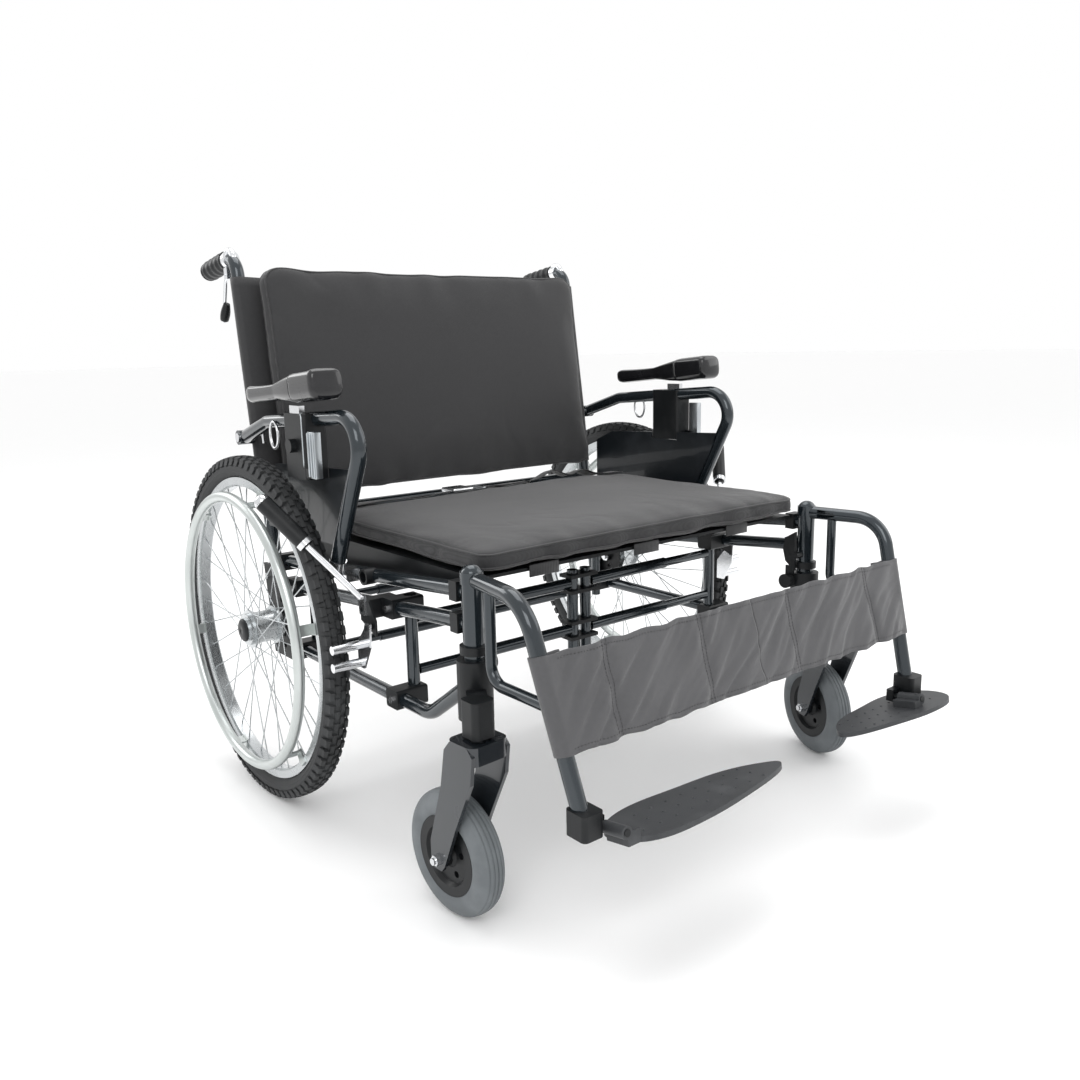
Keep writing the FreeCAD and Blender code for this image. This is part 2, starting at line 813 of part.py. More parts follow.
# Casters
def casterHousing():
    half = housingSize / 2
    body = block(casterStemX - half, casterStemX + half, casterStemY - half, casterStemY + half,
                 forkCrownTop + 4, housingTop)
    body = roundEdges(body, 9, Vector(0, 0, 1))
    clampZ = forkCrownTop + 4
    ring = rod(at(railHalfWidth, postY, clampZ), at(railHalfWidth, postY, clampTop), clampRadius)
    span = at(casterStemX, casterStemY, 0).sub(at(railHalfWidth, postY, 0))
    web = Part.makeBox(span.Length, 28, housingTop - clampZ - 4, at(railHalfWidth, postY - 14, clampZ))
    web.rotate(at(railHalfWidth, postY, 0), Vector(0, 0, 1), math.degrees(math.atan2(span.y, span.x)))
    body = body.fuse(ring).fuse(web)
    body = body.cut(rod(at(railHalfWidth, postY, 200), at(railHalfWidth, postY, 500), postRadius))
    bore = rod(at(casterStemX, casterStemY, 200), at(casterStemX, casterStemY, housingTop - 6),
               stemPinRadius + runningFit)
    return body.cut(bore)


def casterFork():
    crownBottom = forkCrownTop - forkCrownThick
    y = casterStemY
    wide = forkLegGap + forkLegThick
    crown = block(casterStemX - wide, casterStemX + wide, y - 26, y + 30, crownBottom, forkCrownTop)
    crown = roundEdges(crown, 14, Vector(0, 0, 1))
    axle = y + casterTrail
    outline = [(y - 25, forkCrownTop - 12), (y - 16, forkCrownTop - 2), (y + 22, forkCrownTop - 2),
               (y + 34, forkCrownTop - 16), (y + 44, forkCrownTop - 70), (axle + 15, casterRadius + 24),
               (axle + 15, casterRadius - 8), (axle + 8, casterRadius - 15), (axle - 8, casterRadius - 15),
               (axle - 15, casterRadius - 6), (y + 16, casterRadius + 58), (y - 20, forkCrownTop - 52)]
    body = crown
    for x in (casterStemX - wide, casterStemX + forkLegGap):
        body = body.fuse(sidePlate(outline, x, forkLegThick))
    body = body.cut(rod(at(casterStemX - wide - 5, axle, casterRadius), at(casterStemX + wide + 5, axle,
            casterRadius),
                        casterPinRadius))
    stem = rod(at(casterStemX, y, forkCrownTop - 4), at(casterStemX, y, housingTop - 10), stemPinRadius)
    washer = rod(at(casterStemX, y, forkCrownTop - 1), at(casterStemX, y, forkCrownTop + 4 - bodyGap), 13)
    return body.fuse(stem).fuse(washer)


def casterBolt():
    y = casterStemY + casterTrail
    wide = forkLegGap + forkLegThick
    pin = rod(at(casterStemX - wide - 2, y, casterRadius), at(casterStemX + wide + 2, y, casterRadius),
              casterPinRadius)
    heads = []
    for x, way in ((casterStemX - wide, -1), (casterStemX + wide, 1)):
        heads.append(headOnly(at(x, y, casterRadius), Vector(way, 0, 0), 8, 6))
        heads.append(rod(at(x + way * 6, y, casterRadius), at(x + way * 10, y, casterRadius), 5))
    return pin.multiFuse(heads)


def casterWheel():
    y = casterStemY + casterTrail
    h = casterHubHalf
    body = revolveX([(-forkLegGap + 0.6, 0.01), (-forkLegGap + 0.6, 14), (-h + 2, 14), (-h + 6, 18),
                     (-h + 6, 40),
                     (-h, 44), (-h, casterHubRadius), (h, casterHubRadius), (h, 44), (h - 6, 40), (h - 6,
                             18),
                     (h - 2, 14), (forkLegGap - 0.6, 14), (forkLegGap - 0.6,
                                                           0.01)], casterStemX, y, casterRadius)
    for i in range(5):
        angle = math.radians(72 * i + 20)
        hole = rod(Vector(casterStemX - 40, y + 29 * math.cos(angle), casterRadius + 29 * math.sin(angle)),
                   Vector(casterStemX + 40, y + 29 * math.cos(angle),
                          casterRadius + 29 * math.sin(angle)), 5)
        body = body.cut(hole)
    bore = rod(Vector(casterStemX - 60, y, casterRadius), Vector(casterStemX + 60, y, casterRadius),
               casterPinRadius + runningFit)
    return body.cut(bore)


def casterTyre():
    y = casterStemY + casterTrail
    w = casterHalfWidth
    r = casterRadius
    profile = [(-casterHubHalf, casterHubRadius), (-w, casterHubRadius + 4), (-w, r - 16), (-w + 2, r - 9),
               (-w + 7, r - 3.5), (-w + 14, r - 0.6), (-w + 19, r), (w - 19, r), (w - 14,
                       r - 0.6), (w - 7, r - 3.5),
               (w - 2, r - 9), (w, r - 16), (w, casterHubRadius + 4), (casterHubHalf, casterHubRadius)]
    return revolveX(profile, casterStemX, y, casterRadius)


def yawed(shape, side):
    """Swing a caster piece, already on its own side, about its stem."""
    x = casterStemX if side == "l" else -casterStemX
    turned = shape.copy()
    turned.rotate(at(x, casterStemY, 0), Vector(0, 0, 1), casterYaw[side])
    return turned


# Leg rests
def hangerPoint(z):
    """Point on the front tube's centre line at a height."""
    share = (z - hangerFoot[2]) / (hangerCorner[2] - hangerFoot[2])
    return at(hangerFoot[0] + share * (hangerCorner[0] - hangerFoot[0]),
              hangerFoot[1] + share * (hangerCorner[1] - hangerFoot[1]), z)


def hangerPath(start, foot):
    return [at(railHalfWidth, start, hangerTopZ), at(*hangerCorner), hangerPoint(foot)]


def hanger():
    x = railHalfWidth
    bore = bentRod(hangerPath(postY - 26, hangerFoot[2] - 5), [hangerBend], hangerTubeRadius - railWall)
    tube = bentRod(hangerPath(postY - 8, hangerFoot[2]), [hangerBend], hangerTubeRadius)
    tube = tube.cut(rod(at(x, postY, postTop - 60), at(x, postY, postTop + bodyGap), postRadius + bodyGap))
    share = (hangerBarY - postY) / (hangerCorner[1] - postY)
    barX = x + share * (hangerCorner[0] - x)
    bar = bentRod([at(barX, hangerBarY, hangerTopZ), at(barX, hangerBarY, hangerLoopZ),
                   hangerPoint(hangerLoopZ)],
                  [26], hangerBarRadius)
    sleeve = rod(at(x, postY, postTop + bodyGap), at(x, postY, postTop + 17), postRadius + 1.5)
    dome = Part.makeSphere(postRadius + 1.5, at(x, postY, postTop + 10))
    dome = dome.common(block(x - 20, x + 20, postY - 20, postY + 20, postTop + 17, postTop + 26))
    pin = rod(at(x, postY, postTop - pivotPinLength), at(x, postY, postTop + 5),
              postRadius - postWall - runningFit)
    return largest(tube.fuse(bar).fuse(sleeve).fuse(dome).fuse(pin).cut(bore))


def alongTube(z, ahead):
    """Point ahead of the hanger's front tube, square to it, as (y from axle, z)."""
    slope = (hangerFoot[1] - hangerCorner[1]) / (hangerFoot[2] - hangerCorner[2])
    size = math.hypot(1, slope)
    return (hangerPoint(z).y - ahead / size, z + ahead * slope / size)


def calfStrap():
    front = hangerTubeRadius + 1 + strapThick
    back = hangerTubeRadius + 1
    outline = [alongTube(strapLow, back), alongTube(strapHigh, back), alongTube(strapHigh, front),
               alongTube(strapLow, front)]
    return sidePlate(outline, strapSeamGap, strapOuterX - strapSeamGap)


def footClamp():
    foot = at(*hangerFoot)
    body = block(foot.x - 17, foot.x + 17, foot.y - 19, foot.y + 19, foot.z - 8, foot.z + 26)
    body = roundEdges(body, 7, Vector(0, 0, 1))
    ear = block(footHingeX - 7, foot.x - 14, foot.y + 4, foot.y + 16, footHingeZ - 9, footHingeZ + 11)
    body = body.fuse(ear).cut(rod(hangerPoint(foot.z + 80), foot, hangerTubeRadius))
    return largest(body.fuse(footPin(footPinRadius, 16, 62)))


def footAxis():
    lean = math.radians(footTilt)
    return Vector(0, -math.cos(lean), math.sin(lean))


def footPin(radius, back, length):
    """Hinge pin of the footplate, pointing forward and slightly up."""
    base = at(footHingeX, hangerFoot[1], footHingeZ).sub(footAxis() * back)
    return Part.makeCylinder(radius, length, base, footAxis())


def footplate(side):
    """Leaf-shaped plate hung below its hinge knuckle."""
    low, high = footSpan[side]
    half = (high - low) / 2
    z = footHingeZ - footDrop - footThick
    shape = ((0.0, 0.42), (0.22, 0.1), (0.5, 0.0), (0.86, 0.02), (1.0, 0.35), (0.96, 0.8), (0.7, 1.0),
             (0.3, 0.86))
    points = [at(low + 2 * half * u, footRear - footDepth * v, z) for u, v in shape]
    curve = Part.BSplineCurve()
    curve.interpolate(points, PeriodicFlag=True)
    plate = Part.Face(Part.Wire([curve.toShape()])).extrude(Vector(0, 0, footThick))
    y = hangerFoot[1]
    knuckle = rod(at(footHingeX, y - 5, footHingeZ), at(footHingeX, y - 45, footHingeZ), 8.5)
    foot = block(footHingeX - 22, footHingeX, y - 45, y - 5, z + 1, footHingeZ)
    body = plate.fuse(knuckle).fuse(foot)
    body.rotate(at(0, y, footHingeZ), Vector(1, 0, 0), -footTilt)
    return largest(body.cut(footPin(footPinRadius + runningFit, 30, 100)))


# Wheel locks
def lockBracket():
    y0, z0 = lockPivot
    drop = lowerRailDrop
    zRail = railZ(y0) - drop
    body = block(railHalfWidth - 15, lockPlateX, y0 - 6, y0 + 16, zRail - 15, zRail + 15)
    plate = sidePlate([(y0 - 30, z0 - 38), (y0 + 14, z0 - 20), (y0 + 14, z0 + 14), (y0 - 12, z0 + 14),
                       (y0 - 30, z0 - 14)], lockPlateX, lockPlateThick)
    pins = []
    for (y, z), reach in ((lockPivot, 5.6), (shoePivot, 10)):
        pins.append(rod(at(lockPlateX, y, z), at(lockPlateX + lockPlateThick + reach, y, z), lockPinRadius))
    body = body.fuse(plate).cut(railBore(drop))
    return largest(body.multiFuse(pins))


def lockLever():
    y0, z0 = lockPivot
    x = lockPlateX + lockPlateThick + bodyGap
    plate = sidePlate([(y0 - 9, z0 - 9), (y0 + 9, z0 - 9), (y0 + 13, z0 + 22), (y0 - 7, z0 + 22)], x, 4)
    plate = plate.cut(rod(at(x - 5, y0, z0), at(x + 10, y0, z0), lockPinRadius + runningFit))
    start = at(x + 3, y0 + 3, z0 + 17)
    end = at(*lockGripEnd)
    way = end.sub(start).normalize()
    shaft = rod(start, end, lockRodRadius)
    hold = rod(end.sub(way * lockGripLength), end, lockGripRadius)
    hold = hold.fuse(Part.makeSphere(lockGripRadius, end.sub(way * 1)))
    return plate.fuse(shaft).fuse(hold)


def lockShoe():
    y0, z0 = shoePivot
    x = lockPlateX + lockPlateThick + bodyGap + 4 + bodyGap
    plate = sidePlate([(y0 - 9, z0 + 7), (y0 + 5, z0 + 8), (y0 + 10, z0 - 4), (shoeRodY + 9,
            shoeRodZs[0] + 2),
                       (shoeRodY + 9, shoeRodZs[1] - 9), (shoeRodY - 8, shoeRodZs[1] - 9), (y0 - 6,
                               z0 - 30)], x, 3.5)
    plate = plate.cut(rod(at(x - 5, y0, z0), at(x + 10, y0, z0), lockPinRadius + runningFit))
    rods = [rod(at(x, shoeRodY, z), at(shoeRodEnd, shoeRodY, z), shoeRodRadius) for z in shoeRodZs]
    return plate.multiFuse(rods)


# Build
def build():
    nodes = {}
    nodes["front_posts"] = pair([frontPost()])
    nodes["seat_rails"] = pair([seatRail(0.0), seatRail(lowerRailDrop)])
    nodes["base_rails"] = pair([baseRail()])
    nodes["truss_tubes"] = pair([tube for truss in trusses for tube in trussTubes(truss)])
    nodes["truss_posts"] = pair([trussPost(truss, x) for truss in trusses for x in (trussInnerX,
            trussOuterX)])
    links = [link for truss in trusses for link in trussLinks(truss)]
    nodes["frame_clamps"] = Part.makeCompound(pair(frameClamps()).Solids + links)
    nodes["frame_bolts"] = pair(frameBolts())
    nodes["seat_base"] = seatBase()
    nodes["seat_cushion"] = seatCushion()
    nodes["lap_belt"] = lapBelt()
    nodes["belt_buckle"] = beltBuckle()
    nodes["back_canes"] = pair([cane()])
    nodes["push_grips"] = pair([grip()])
    nodes["brake_mounts"] = pair([brakeMount()])
    nodes["back_cushion"] = backCushion()
    nodes["back_sling"] = backSling()
    nodes["back_bar"] = backBar()
    nodes["arm_fittings"] = pair([armSocket(), armPivot()])
    nodes["axle_plates"] = pair([axlePlate()])
    nodes["axle_pins"] = pair([axlePin()])
    nodes["caster_housings"] = pair([casterHousing()])
    nodes["lock_brackets"] = pair([lockBracket()])
    mirroredParts = {
        "rear_tyre": rearTyre(), "rear_wheel": rearWheel(), "handrim": handrim(),
        "arm_tube": armTube(), "arm_box": armBox(), "arm_stem": armStem(), "arm_pad": armPad(),
        "side_panel": sidePanel(), "hanger": hanger(), "calf_strap": calfStrap(), "foot_clamp": footClamp(),
        "brake_lever": brakeLever(), "lock_lever": lockLever(), "lock_shoe": lockShoe(),
    }
    casterParts = {"caster_fork": casterFork(), "caster_bolt": casterBolt(), "caster_wheel": casterWheel(),
                   "caster_tyre": casterTyre()}
    for side in ("r", "l"):
        for name, shape in mirroredParts.items():
            nodes[name + "_" + side] = forSide(shape, side)
        for name, shape in casterParts.items():
            nodes[name + "_" + side] = yawed(forSide(shape, side), side)
        nodes["footplate_" + side] = forSide(footplate(side), side)
    return nodes


model = build()
wholeBox = Part.makeCompound(list(model.values())).optimalBoundingBox(False)
originShift = -(wholeBox.YMin + wholeBox.YMax) / 2
for nodeName, nodeShape in model.items():
    nodeShape.translate(Vector(0, originShift, 0))
    save(nodeName, nodeShape)
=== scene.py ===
import json
import math

import bmesh
import bpy
from mathutils import Matrix, Vector, noise
from mathutils.bvhtree import BVHTree

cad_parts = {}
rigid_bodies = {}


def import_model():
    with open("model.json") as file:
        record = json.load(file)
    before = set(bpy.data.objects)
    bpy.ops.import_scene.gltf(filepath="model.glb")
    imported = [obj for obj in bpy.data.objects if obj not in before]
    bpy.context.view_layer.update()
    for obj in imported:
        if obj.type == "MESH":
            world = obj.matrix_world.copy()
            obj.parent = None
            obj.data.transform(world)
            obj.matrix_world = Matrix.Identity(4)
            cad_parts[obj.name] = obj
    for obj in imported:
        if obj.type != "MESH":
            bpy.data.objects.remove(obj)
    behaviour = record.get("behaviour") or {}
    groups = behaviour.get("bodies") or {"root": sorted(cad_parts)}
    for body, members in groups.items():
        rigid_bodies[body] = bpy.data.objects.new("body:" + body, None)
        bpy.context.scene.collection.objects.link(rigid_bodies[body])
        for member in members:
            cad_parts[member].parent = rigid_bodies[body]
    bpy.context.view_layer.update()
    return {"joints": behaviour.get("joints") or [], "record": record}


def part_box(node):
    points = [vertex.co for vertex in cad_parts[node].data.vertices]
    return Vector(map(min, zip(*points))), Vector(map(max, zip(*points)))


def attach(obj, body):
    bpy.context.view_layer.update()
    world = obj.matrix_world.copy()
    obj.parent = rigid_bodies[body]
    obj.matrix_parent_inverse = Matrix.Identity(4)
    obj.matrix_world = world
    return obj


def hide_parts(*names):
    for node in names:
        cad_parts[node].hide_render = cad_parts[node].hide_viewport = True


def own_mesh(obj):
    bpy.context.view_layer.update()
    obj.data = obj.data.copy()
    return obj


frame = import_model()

joints = {j["name"]: j for j in frame["joints"]}
sides = {"r": -1, "l": 1}

# where the chair stands
axle = Vector(joints["wheel_spin_l"]["pos_m"])
back = {"recline": 8.0, "refZ": 0.510, "refY": 0.067, "caneX": 0.385}


# camera
camera = {"lens": 32.1, "azimuth": -38.92, "elevation": 11.36, "roll": -1.19, "place": (-1.093,
        -1.597, 0.783)}


def addCamera():
    az, el, roll = (math.radians(camera[k]) for k in ("azimuth", "elevation", "roll"))
    backward = Vector((math.sin(az) * math.cos(el), -math.cos(az) * math.cos(el), math.sin(el)))
    right = (-backward).cross(Vector((0, 0, 1))).normalized()
    up = right.cross(-backward)
    turnedRight = right * math.cos(roll) + up * math.sin(roll)
    turnedUp = up * math.cos(roll) - right * math.sin(roll)
    data = bpy.data.cameras.new("camera")
    data.lens = camera["lens"]
    data.sensor_width = 36
    cam = bpy.data.objects.new("camera", data)
    bpy.context.collection.objects.link(cam)
    turn = Matrix((turnedRight, turnedUp, backward)).transposed().to_4x4()
    cam.matrix_world = Matrix.Translation(Vector(camera["place"]) + Vector((0, axle.y, 0))) @ turn
    bpy.context.scene.camera = cam


addCamera()
print("camera placed")


# shader maths
class Sock:
    def __init__(self, shade, out):
        self.shade = shade
        self.out = out

    def maths(self, operation, a, b=0.0):
        return self.shade.node("ShaderNodeMath", {"operation": operation}, {0: a, 1: b})

    def __add__(self, other):
        return self.maths("ADD", self, other)

    def __radd__(self, other):
        return self.maths("ADD", other, self)

    def __sub__(self, other):
        return self.maths("SUBTRACT", self, other)

    def __rsub__(self, other):
        return self.maths("SUBTRACT", other, self)

    def __mul__(self, other):
        return self.maths("MULTIPLY", self, other)

    def __rmul__(self, other):
        return self.maths("MULTIPLY", other, self)

    def sine(self):
        return self.maths("SINE", self)


class Shade:
    def __init__(self, name):
        self.mat = bpy.data.materials.new(name)
        self.mat.use_nodes = True
        self.tree = self.mat.node_tree
        self.bsdf = self.tree.nodes["Principled BSDF"]
        self.place = self.node("ShaderNodeTexCoord", {}, {}, "Object")

    def node(self, kind, settings, sockets, output=0):
        made = self.tree.nodes.new(kind)
        for key, value in settings.items():
            if key == "ramp":
                for i, (pos, colour) in enumerate(value):
                    stop = made.color_ramp.elements[i]
                    stop.position = pos
                    stop.color = colour
            else:
                setattr(made, key, value)
        for key, value in sockets.items():
            if isinstance(value, Sock):
                self.tree.links.new(value.out, made.inputs[key])
            else:
                made.inputs[key].default_value = value
        return Sock(self, made.outputs[output])

    def set(self, **sockets):
        for key, value in sockets.items():
            target = self.bsdf.inputs[key.replace("_", " ")]
            if isinstance(value, Sock):
                self.tree.links.new(value.out, target)
            else:
                target.default_value = value

    def noise(self, scale, detail=3.0, stretch=None):
        where = self.place
        if stretch:
            where = self.node("ShaderNodeVectorMath", {"operation": "MULTIPLY"}, {0: self.place,
                    1: stretch})
        return self.node("ShaderNodeTexNoise", {}, {"Vector": where, "Scale": scale, "Detail": detail})

    def axis(self, letter):
        return self.node("ShaderNodeSeparateXYZ", {}, {0: self.place}, "XYZ".index(letter))

    def step(self, value, low, high):
        return self.node("ShaderNodeMapRange", {"clamp": True}, {0: value, 1: low, 2: high})

    def mix(self, factor, a, b):
        return self.node("ShaderNodeMix", {"data_type": "RGBA"}, {0: factor, 6: a, 7: b}, 2)

    def bump(self, height, strength, distance=0.001):
        made = self.node("ShaderNodeBump", {}, {"Height": height, "Strength": strength,
                                                "Distance": distance})
        self.set(Normal=made)


boxes = {}


def boxOf(node):
    if node not in boxes:
        boxes[node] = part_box(node)
    return boxes[node]


def rgb(r, g, b):
    return (r, g, b, 1.0)


def paint(name, dark, light, rough, metal, coat):
    s = Shade(name)
    flake = s.noise(900.0, 2.0)
    cloud = s.noise(9.0, 4.0)
    scuff = s.step(s.noise(55.0, 6.0, (1.0, 1.0, 0.3)), 0.60, 0.74)
    s.set(Base_Color=s.mix(cloud * 0.5 + flake * 0.5, dark, light), Metallic=metal, Coat_Weight=coat)
    s.set(Roughness=scuff * 0.12 + cloud * 0.06 + rough)
    s.bsdf.inputs["Coat Roughness"].default_value = 0.06
    s.bump(flake, 0.05, 0.0002)
    return s.mat


def metal(name, dark, light, rough, grain):
    s = Shade(name)
    brushed = s.noise(140.0, 5.0, grain)
    smear = s.noise(14.0, 4.0)
    s.set(Base_Color=s.mix(smear, dark, light), Metallic=0.96)
    s.set(Roughness=brushed * 0.10 + s.step(smear, 0.55, 0.8) * 0.08 + rough)
    s.bump(brushed, 0.06, 0.0002)
    return s.mat


def plastic(name, dark, light, rough, grainScale, depth, coat=0.0):
    s = Shade(name)
    grain = s.noise(grainScale, 3.0)
    wear = s.step(s.noise(24.0, 6.0), 0.5, 0.75)
    s.set(Base_Color=s.mix(wear * 0.7 + grain * 0.3, dark, light), Coat_Weight=coat)
    s.bsdf.inputs["Specular IOR Level"].default_value = 0.3
    s.set(Roughness=wear * 0.12 + grain * 0.08 + rough)
    s.bsdf.inputs["Coat Roughness"].default_value = 0.05
    s.bump(grain, depth, 0.0005)
    return s.mat


def rubber(name, dark, light, rough):
    s = Shade(name)
    grain = s.noise(700.0, 4.0)
    dust = s.step(s.noise(17.0, 6.0), 0.42, 0.72)
    s.set(Base_Color=s.mix(dust * 0.8 + grain * 0.2, dark, light),
          Roughness=dust * 0.15 + grain * 0.1 + rough)
    s.bump(grain, 0.2, 0.0005)
    return s.mat


def nylon(name, dark, light, across, along, pitch, rough, crease=0.5):
    s = Shade(name)
    k = 2 * math.pi / pitch
    warp = (s.axis(across) * k).sine()
    weft = (s.axis(along) * k).sine()
    weave = warp * weft
    slub = s.noise(160.0, 3.0)
    fade = s.noise(5.0, 4.0)
    fold = s.noise(11.0, 5.0, (1.0, 1.6, 1.0))
    s.set(Base_Color=s.mix(fade * 0.5 + weave * 0.16 + slub * 0.3, dark, light))
    s.set(Roughness=weave * 0.06 + fade * 0.1 + rough)
    s.bsdf.inputs["Sheen Weight"].default_value = 0.25
    s.bsdf.inputs["Sheen Roughness"].default_value = 0.45
    s.bump(weave * 0.22 + slub * 0.2 + fold * 6.0 * crease, 0.5, 0.0011)
    return s.mat


steelGrain = (1.0, 1.0, 12.0)
mats = {
    "frame_paint": paint("framePaint", rgb(.009, .014, .018), rgb(.026, .036, .044), 0.14, 0.55, 0.7),
    "fork_paint": paint("forkPaint", rgb(.008, .010, .013), rgb(.024, .030, .036), 0.17, 0.4, 0.7),
    "black_plastic": plastic("blackPlastic", rgb(.004, .005, .006), rgb(.016, .017, .018), 0.34,
                             420.0, 0.12),
    "panel_plastic": plastic("panelPlastic", rgb(.006, .008, .010), rgb(.018, .021, .025), 0.26,
                             300.0, 0.08, 0.3),
    "gloss_pad": plastic("glossPad", rgb(.004, .004, .005), rgb(.011, .011, .013), 0.15, 260.0, 0.05,
                         0.6),
    "bright_steel": metal("brightSteel", rgb(.58, .59, .61), rgb(.86, .87, .88), 0.10, steelGrain),
    "rim_alloy": metal("rimAlloy", rgb(.42, .44, .45), rgb(.62, .64, .65), 0.22, (8.0, 1.0, 1.0)),
    "handrim_alloy": metal("handrimAlloy", rgb(.46, .49, .48), rgb(.62, .65, .64), 0.28, (6.0, 1.0,
            1.0)),
    "tyre_rubber": rubber("tyreRubber", rgb(.010, .011, .012), rgb(.040, .042, .044), 0.58),
    "caster_rubber": rubber("casterRubber", rgb(.100, .112, .120), rgb(.180, .195, .205), 0.52),
    "footplate_grey": plastic("footplateGrey", rgb(.034, .036, .039), rgb(.072, .075, .079), 0.42,
                              500.0, 0.25),
    "cushion_fabric": nylon("cushionNylon", rgb(.009, .009, .010), rgb(.028, .028, .030), "X", "Z",
                            0.0016, 0.62, 0.35),
    "seat_nylon": nylon("seatNylon", rgb(.007, .007, .008), rgb(.021, .021, .023), "X", "Y", 0.0016,
                        0.60, 0.5),
    "strap_fabric": nylon("strapNylon", rgb(.040, .040, .043), rgb(.095, .095, .100), "X", "Z",
                          0.0014, 0.46, 0.6),
    "webbing": nylon("webbingWeave", rgb(.008, .008, .009), rgb(.040, .040, .042), "X", "Y", 0.0030,
                     0.55, 0.1),
    "light_rod": metal("lightRod", rgb(.38, .41, .43), rgb(.58, .61, .63), 0.26, steelGrain),
}
slotOf = {row["node"]: row["material_slot"] for row in frame["record"]["subparts"]}


def dressNodes():
    for node, slot in slotOf.items():
        obj = bpy.data.objects[node]
        key = {"seat_base": "black_plastic"}.get(node, slot)
        if not obj.material_slots:
            obj.data.materials.append(mats[key])
        for place in obj.material_slots:
            place.material = mats[key]


dressNodes()
print("CAD nodes have their materials")


# mesh helpers
def piece(name, verts, faces, mat, body, slot, smooth=True, replace=()):
    mesh = bpy.data.meshes.new(name)
    mesh.from_pydata([tuple(v) for v in verts], [], faces)
    bm = bmesh.new()
    bm.from_mesh(mesh)
    bmesh.ops.recalc_face_normals(bm, faces=bm.faces)
    bm.to_mesh(mesh)
    bm.free()
    for poly in mesh.polygons:
        poly.use_smooth = smooth
    mesh.materials.append(mats[mat])
    obj = bpy.data.objects.new(name, mesh)
    bpy.context.collection.objects.link(obj)
    return settle(obj, body, replace)


def settle(obj, body, replace=()):
    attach(obj, body)
    if replace:
        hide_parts(*replace)
    return obj


def soften(obj, width, segments=2):
    bevel = obj.modifiers.new("bevel", "BEVEL")
    bevel.width = width
    bevel.segments = segments
    bevel.limit_method = "ANGLE"
    bevel.angle_limit = math.radians(35)
    for poly in obj.data.polygons:
        poly.use_smooth = True
    return obj


def loft(rings, closed=False):
    verts = [v for ring in rings for v in ring]
    n = len(rings[0])
    faces = []
    count = len(rings) if closed else len(rings) - 1
    for i in range(count):
        for j in range(n):
            a, b = i * n + j, i * n + (j + 1) % n
            c = ((i + 1) % len(rings)) * n
            faces.append((a, b, c + (j + 1) % n, c + j))
    if not closed:
        faces.append(tuple(range(n)))
        faces.append(tuple((len(rings) - 1) * n + j for j in range(n)))
    return verts, faces


def tube(points, radius, segments=12, closed=False):
    pts = [Vector(p) for p in points]
    rings = []
    normal = None
    for i, p in enumerate(pts):
        ahead = pts[(i + 1) % len(pts)] if closed or i < len(pts) - 1 else p
        behind = pts[i - 1] if closed or i else p
        along = (ahead - behind).normalized()
        if normal is None:
            normal = along.orthogonal().normalized()
        normal = (normal - along * normal.dot(along)).normalized()
        side = along.cross(normal)
        r = radius(i / (len(pts) - 1)) if callable(radius) else radius
        rings.append([p + (normal * math.cos(a) + side * math.sin(a)) * r
                      for a in (2 * math.pi * j / segments for j in range(segments))])
    return loft(rings, closed)


def join(*parts):
    verts, faces = [], []
    for v, f in parts:
        base = len(verts)
        verts += list(v)
        faces += [tuple(i + base for i in face) for face in f]
    return verts, faces


def boxMesh(low, high, move=None):
    verts = [Vector((x, y, z)) for x in (low[0], high[0]) for y in (low[1], high[1]) for z in (low[2],
            high[2])]
    if move:
        verts = [move @ v for v in verts]
    return verts, [(0, 1, 3, 2), (4, 6, 7, 5), (0, 4, 5, 1), (2, 3, 7, 6), (0, 2, 6, 4), (1, 5, 7, 3)]


def at(x, fromAxle, z):
    return Vector((x, axle.y + fromAxle, z))


def lean(x, y, up):
    # a place drawn upright on the back, y ahead or behind the canes, up from their foot, then reclined
    a = math.radians(back["recline"])
    return at(x, back["refY"] + y * math.cos(a) + up * math.sin(a),
              back["refZ"] - y * math.sin(a) + up * math.cos(a))


def wheelFrame(jointName):
    j = joints[jointName]
    x = Vector(j["axis"]).normalized()
    z = Vector((0, 0, 1))
    y = z.cross(x)
    return Matrix.Translation(Vector(j["pos_m"])) @ Matrix((x, y, z)).transposed().to_4x4()


def spun(profile, turn, segments):
    rings = []
    for i in range(segments):
        a = 2 * math.pi * i / segments
        rings.append([turn @ Vector((x, r * math.cos(a), r * math.sin(a))) for x, r in profile])
    return loft(rings, True)


# rear tyres
rearTyre = {"radius": 0.305, "section": 0.0208, "seat": 0.2645, "blocks": 84, "blockHigh": 0.0034,
            "rows": 4}


def treadBlock(turn, angle, lowX, highX, lowR, highR, half):
    verts = []
    for r, grow in ((lowR, 1.0), (highR, 0.8)):
        mid = (lowX + highX) / 2
        for x in (mid + (lowX - mid) * grow, mid + (highX - mid) * grow):
            drop = (x / rearTyre["section"]) ** 2 * 0.0042
            for a in (angle - half * grow, angle + half * grow):
                verts.append(turn @ Vector((x, (r - drop) * math.cos(a), (r - drop) * math.sin(a))))
    return verts, [(0, 1, 3, 2), (4, 6, 7, 5), (0, 4, 5, 1), (2, 3, 7, 6), (0, 2, 6, 4), (1, 5, 7, 3)]


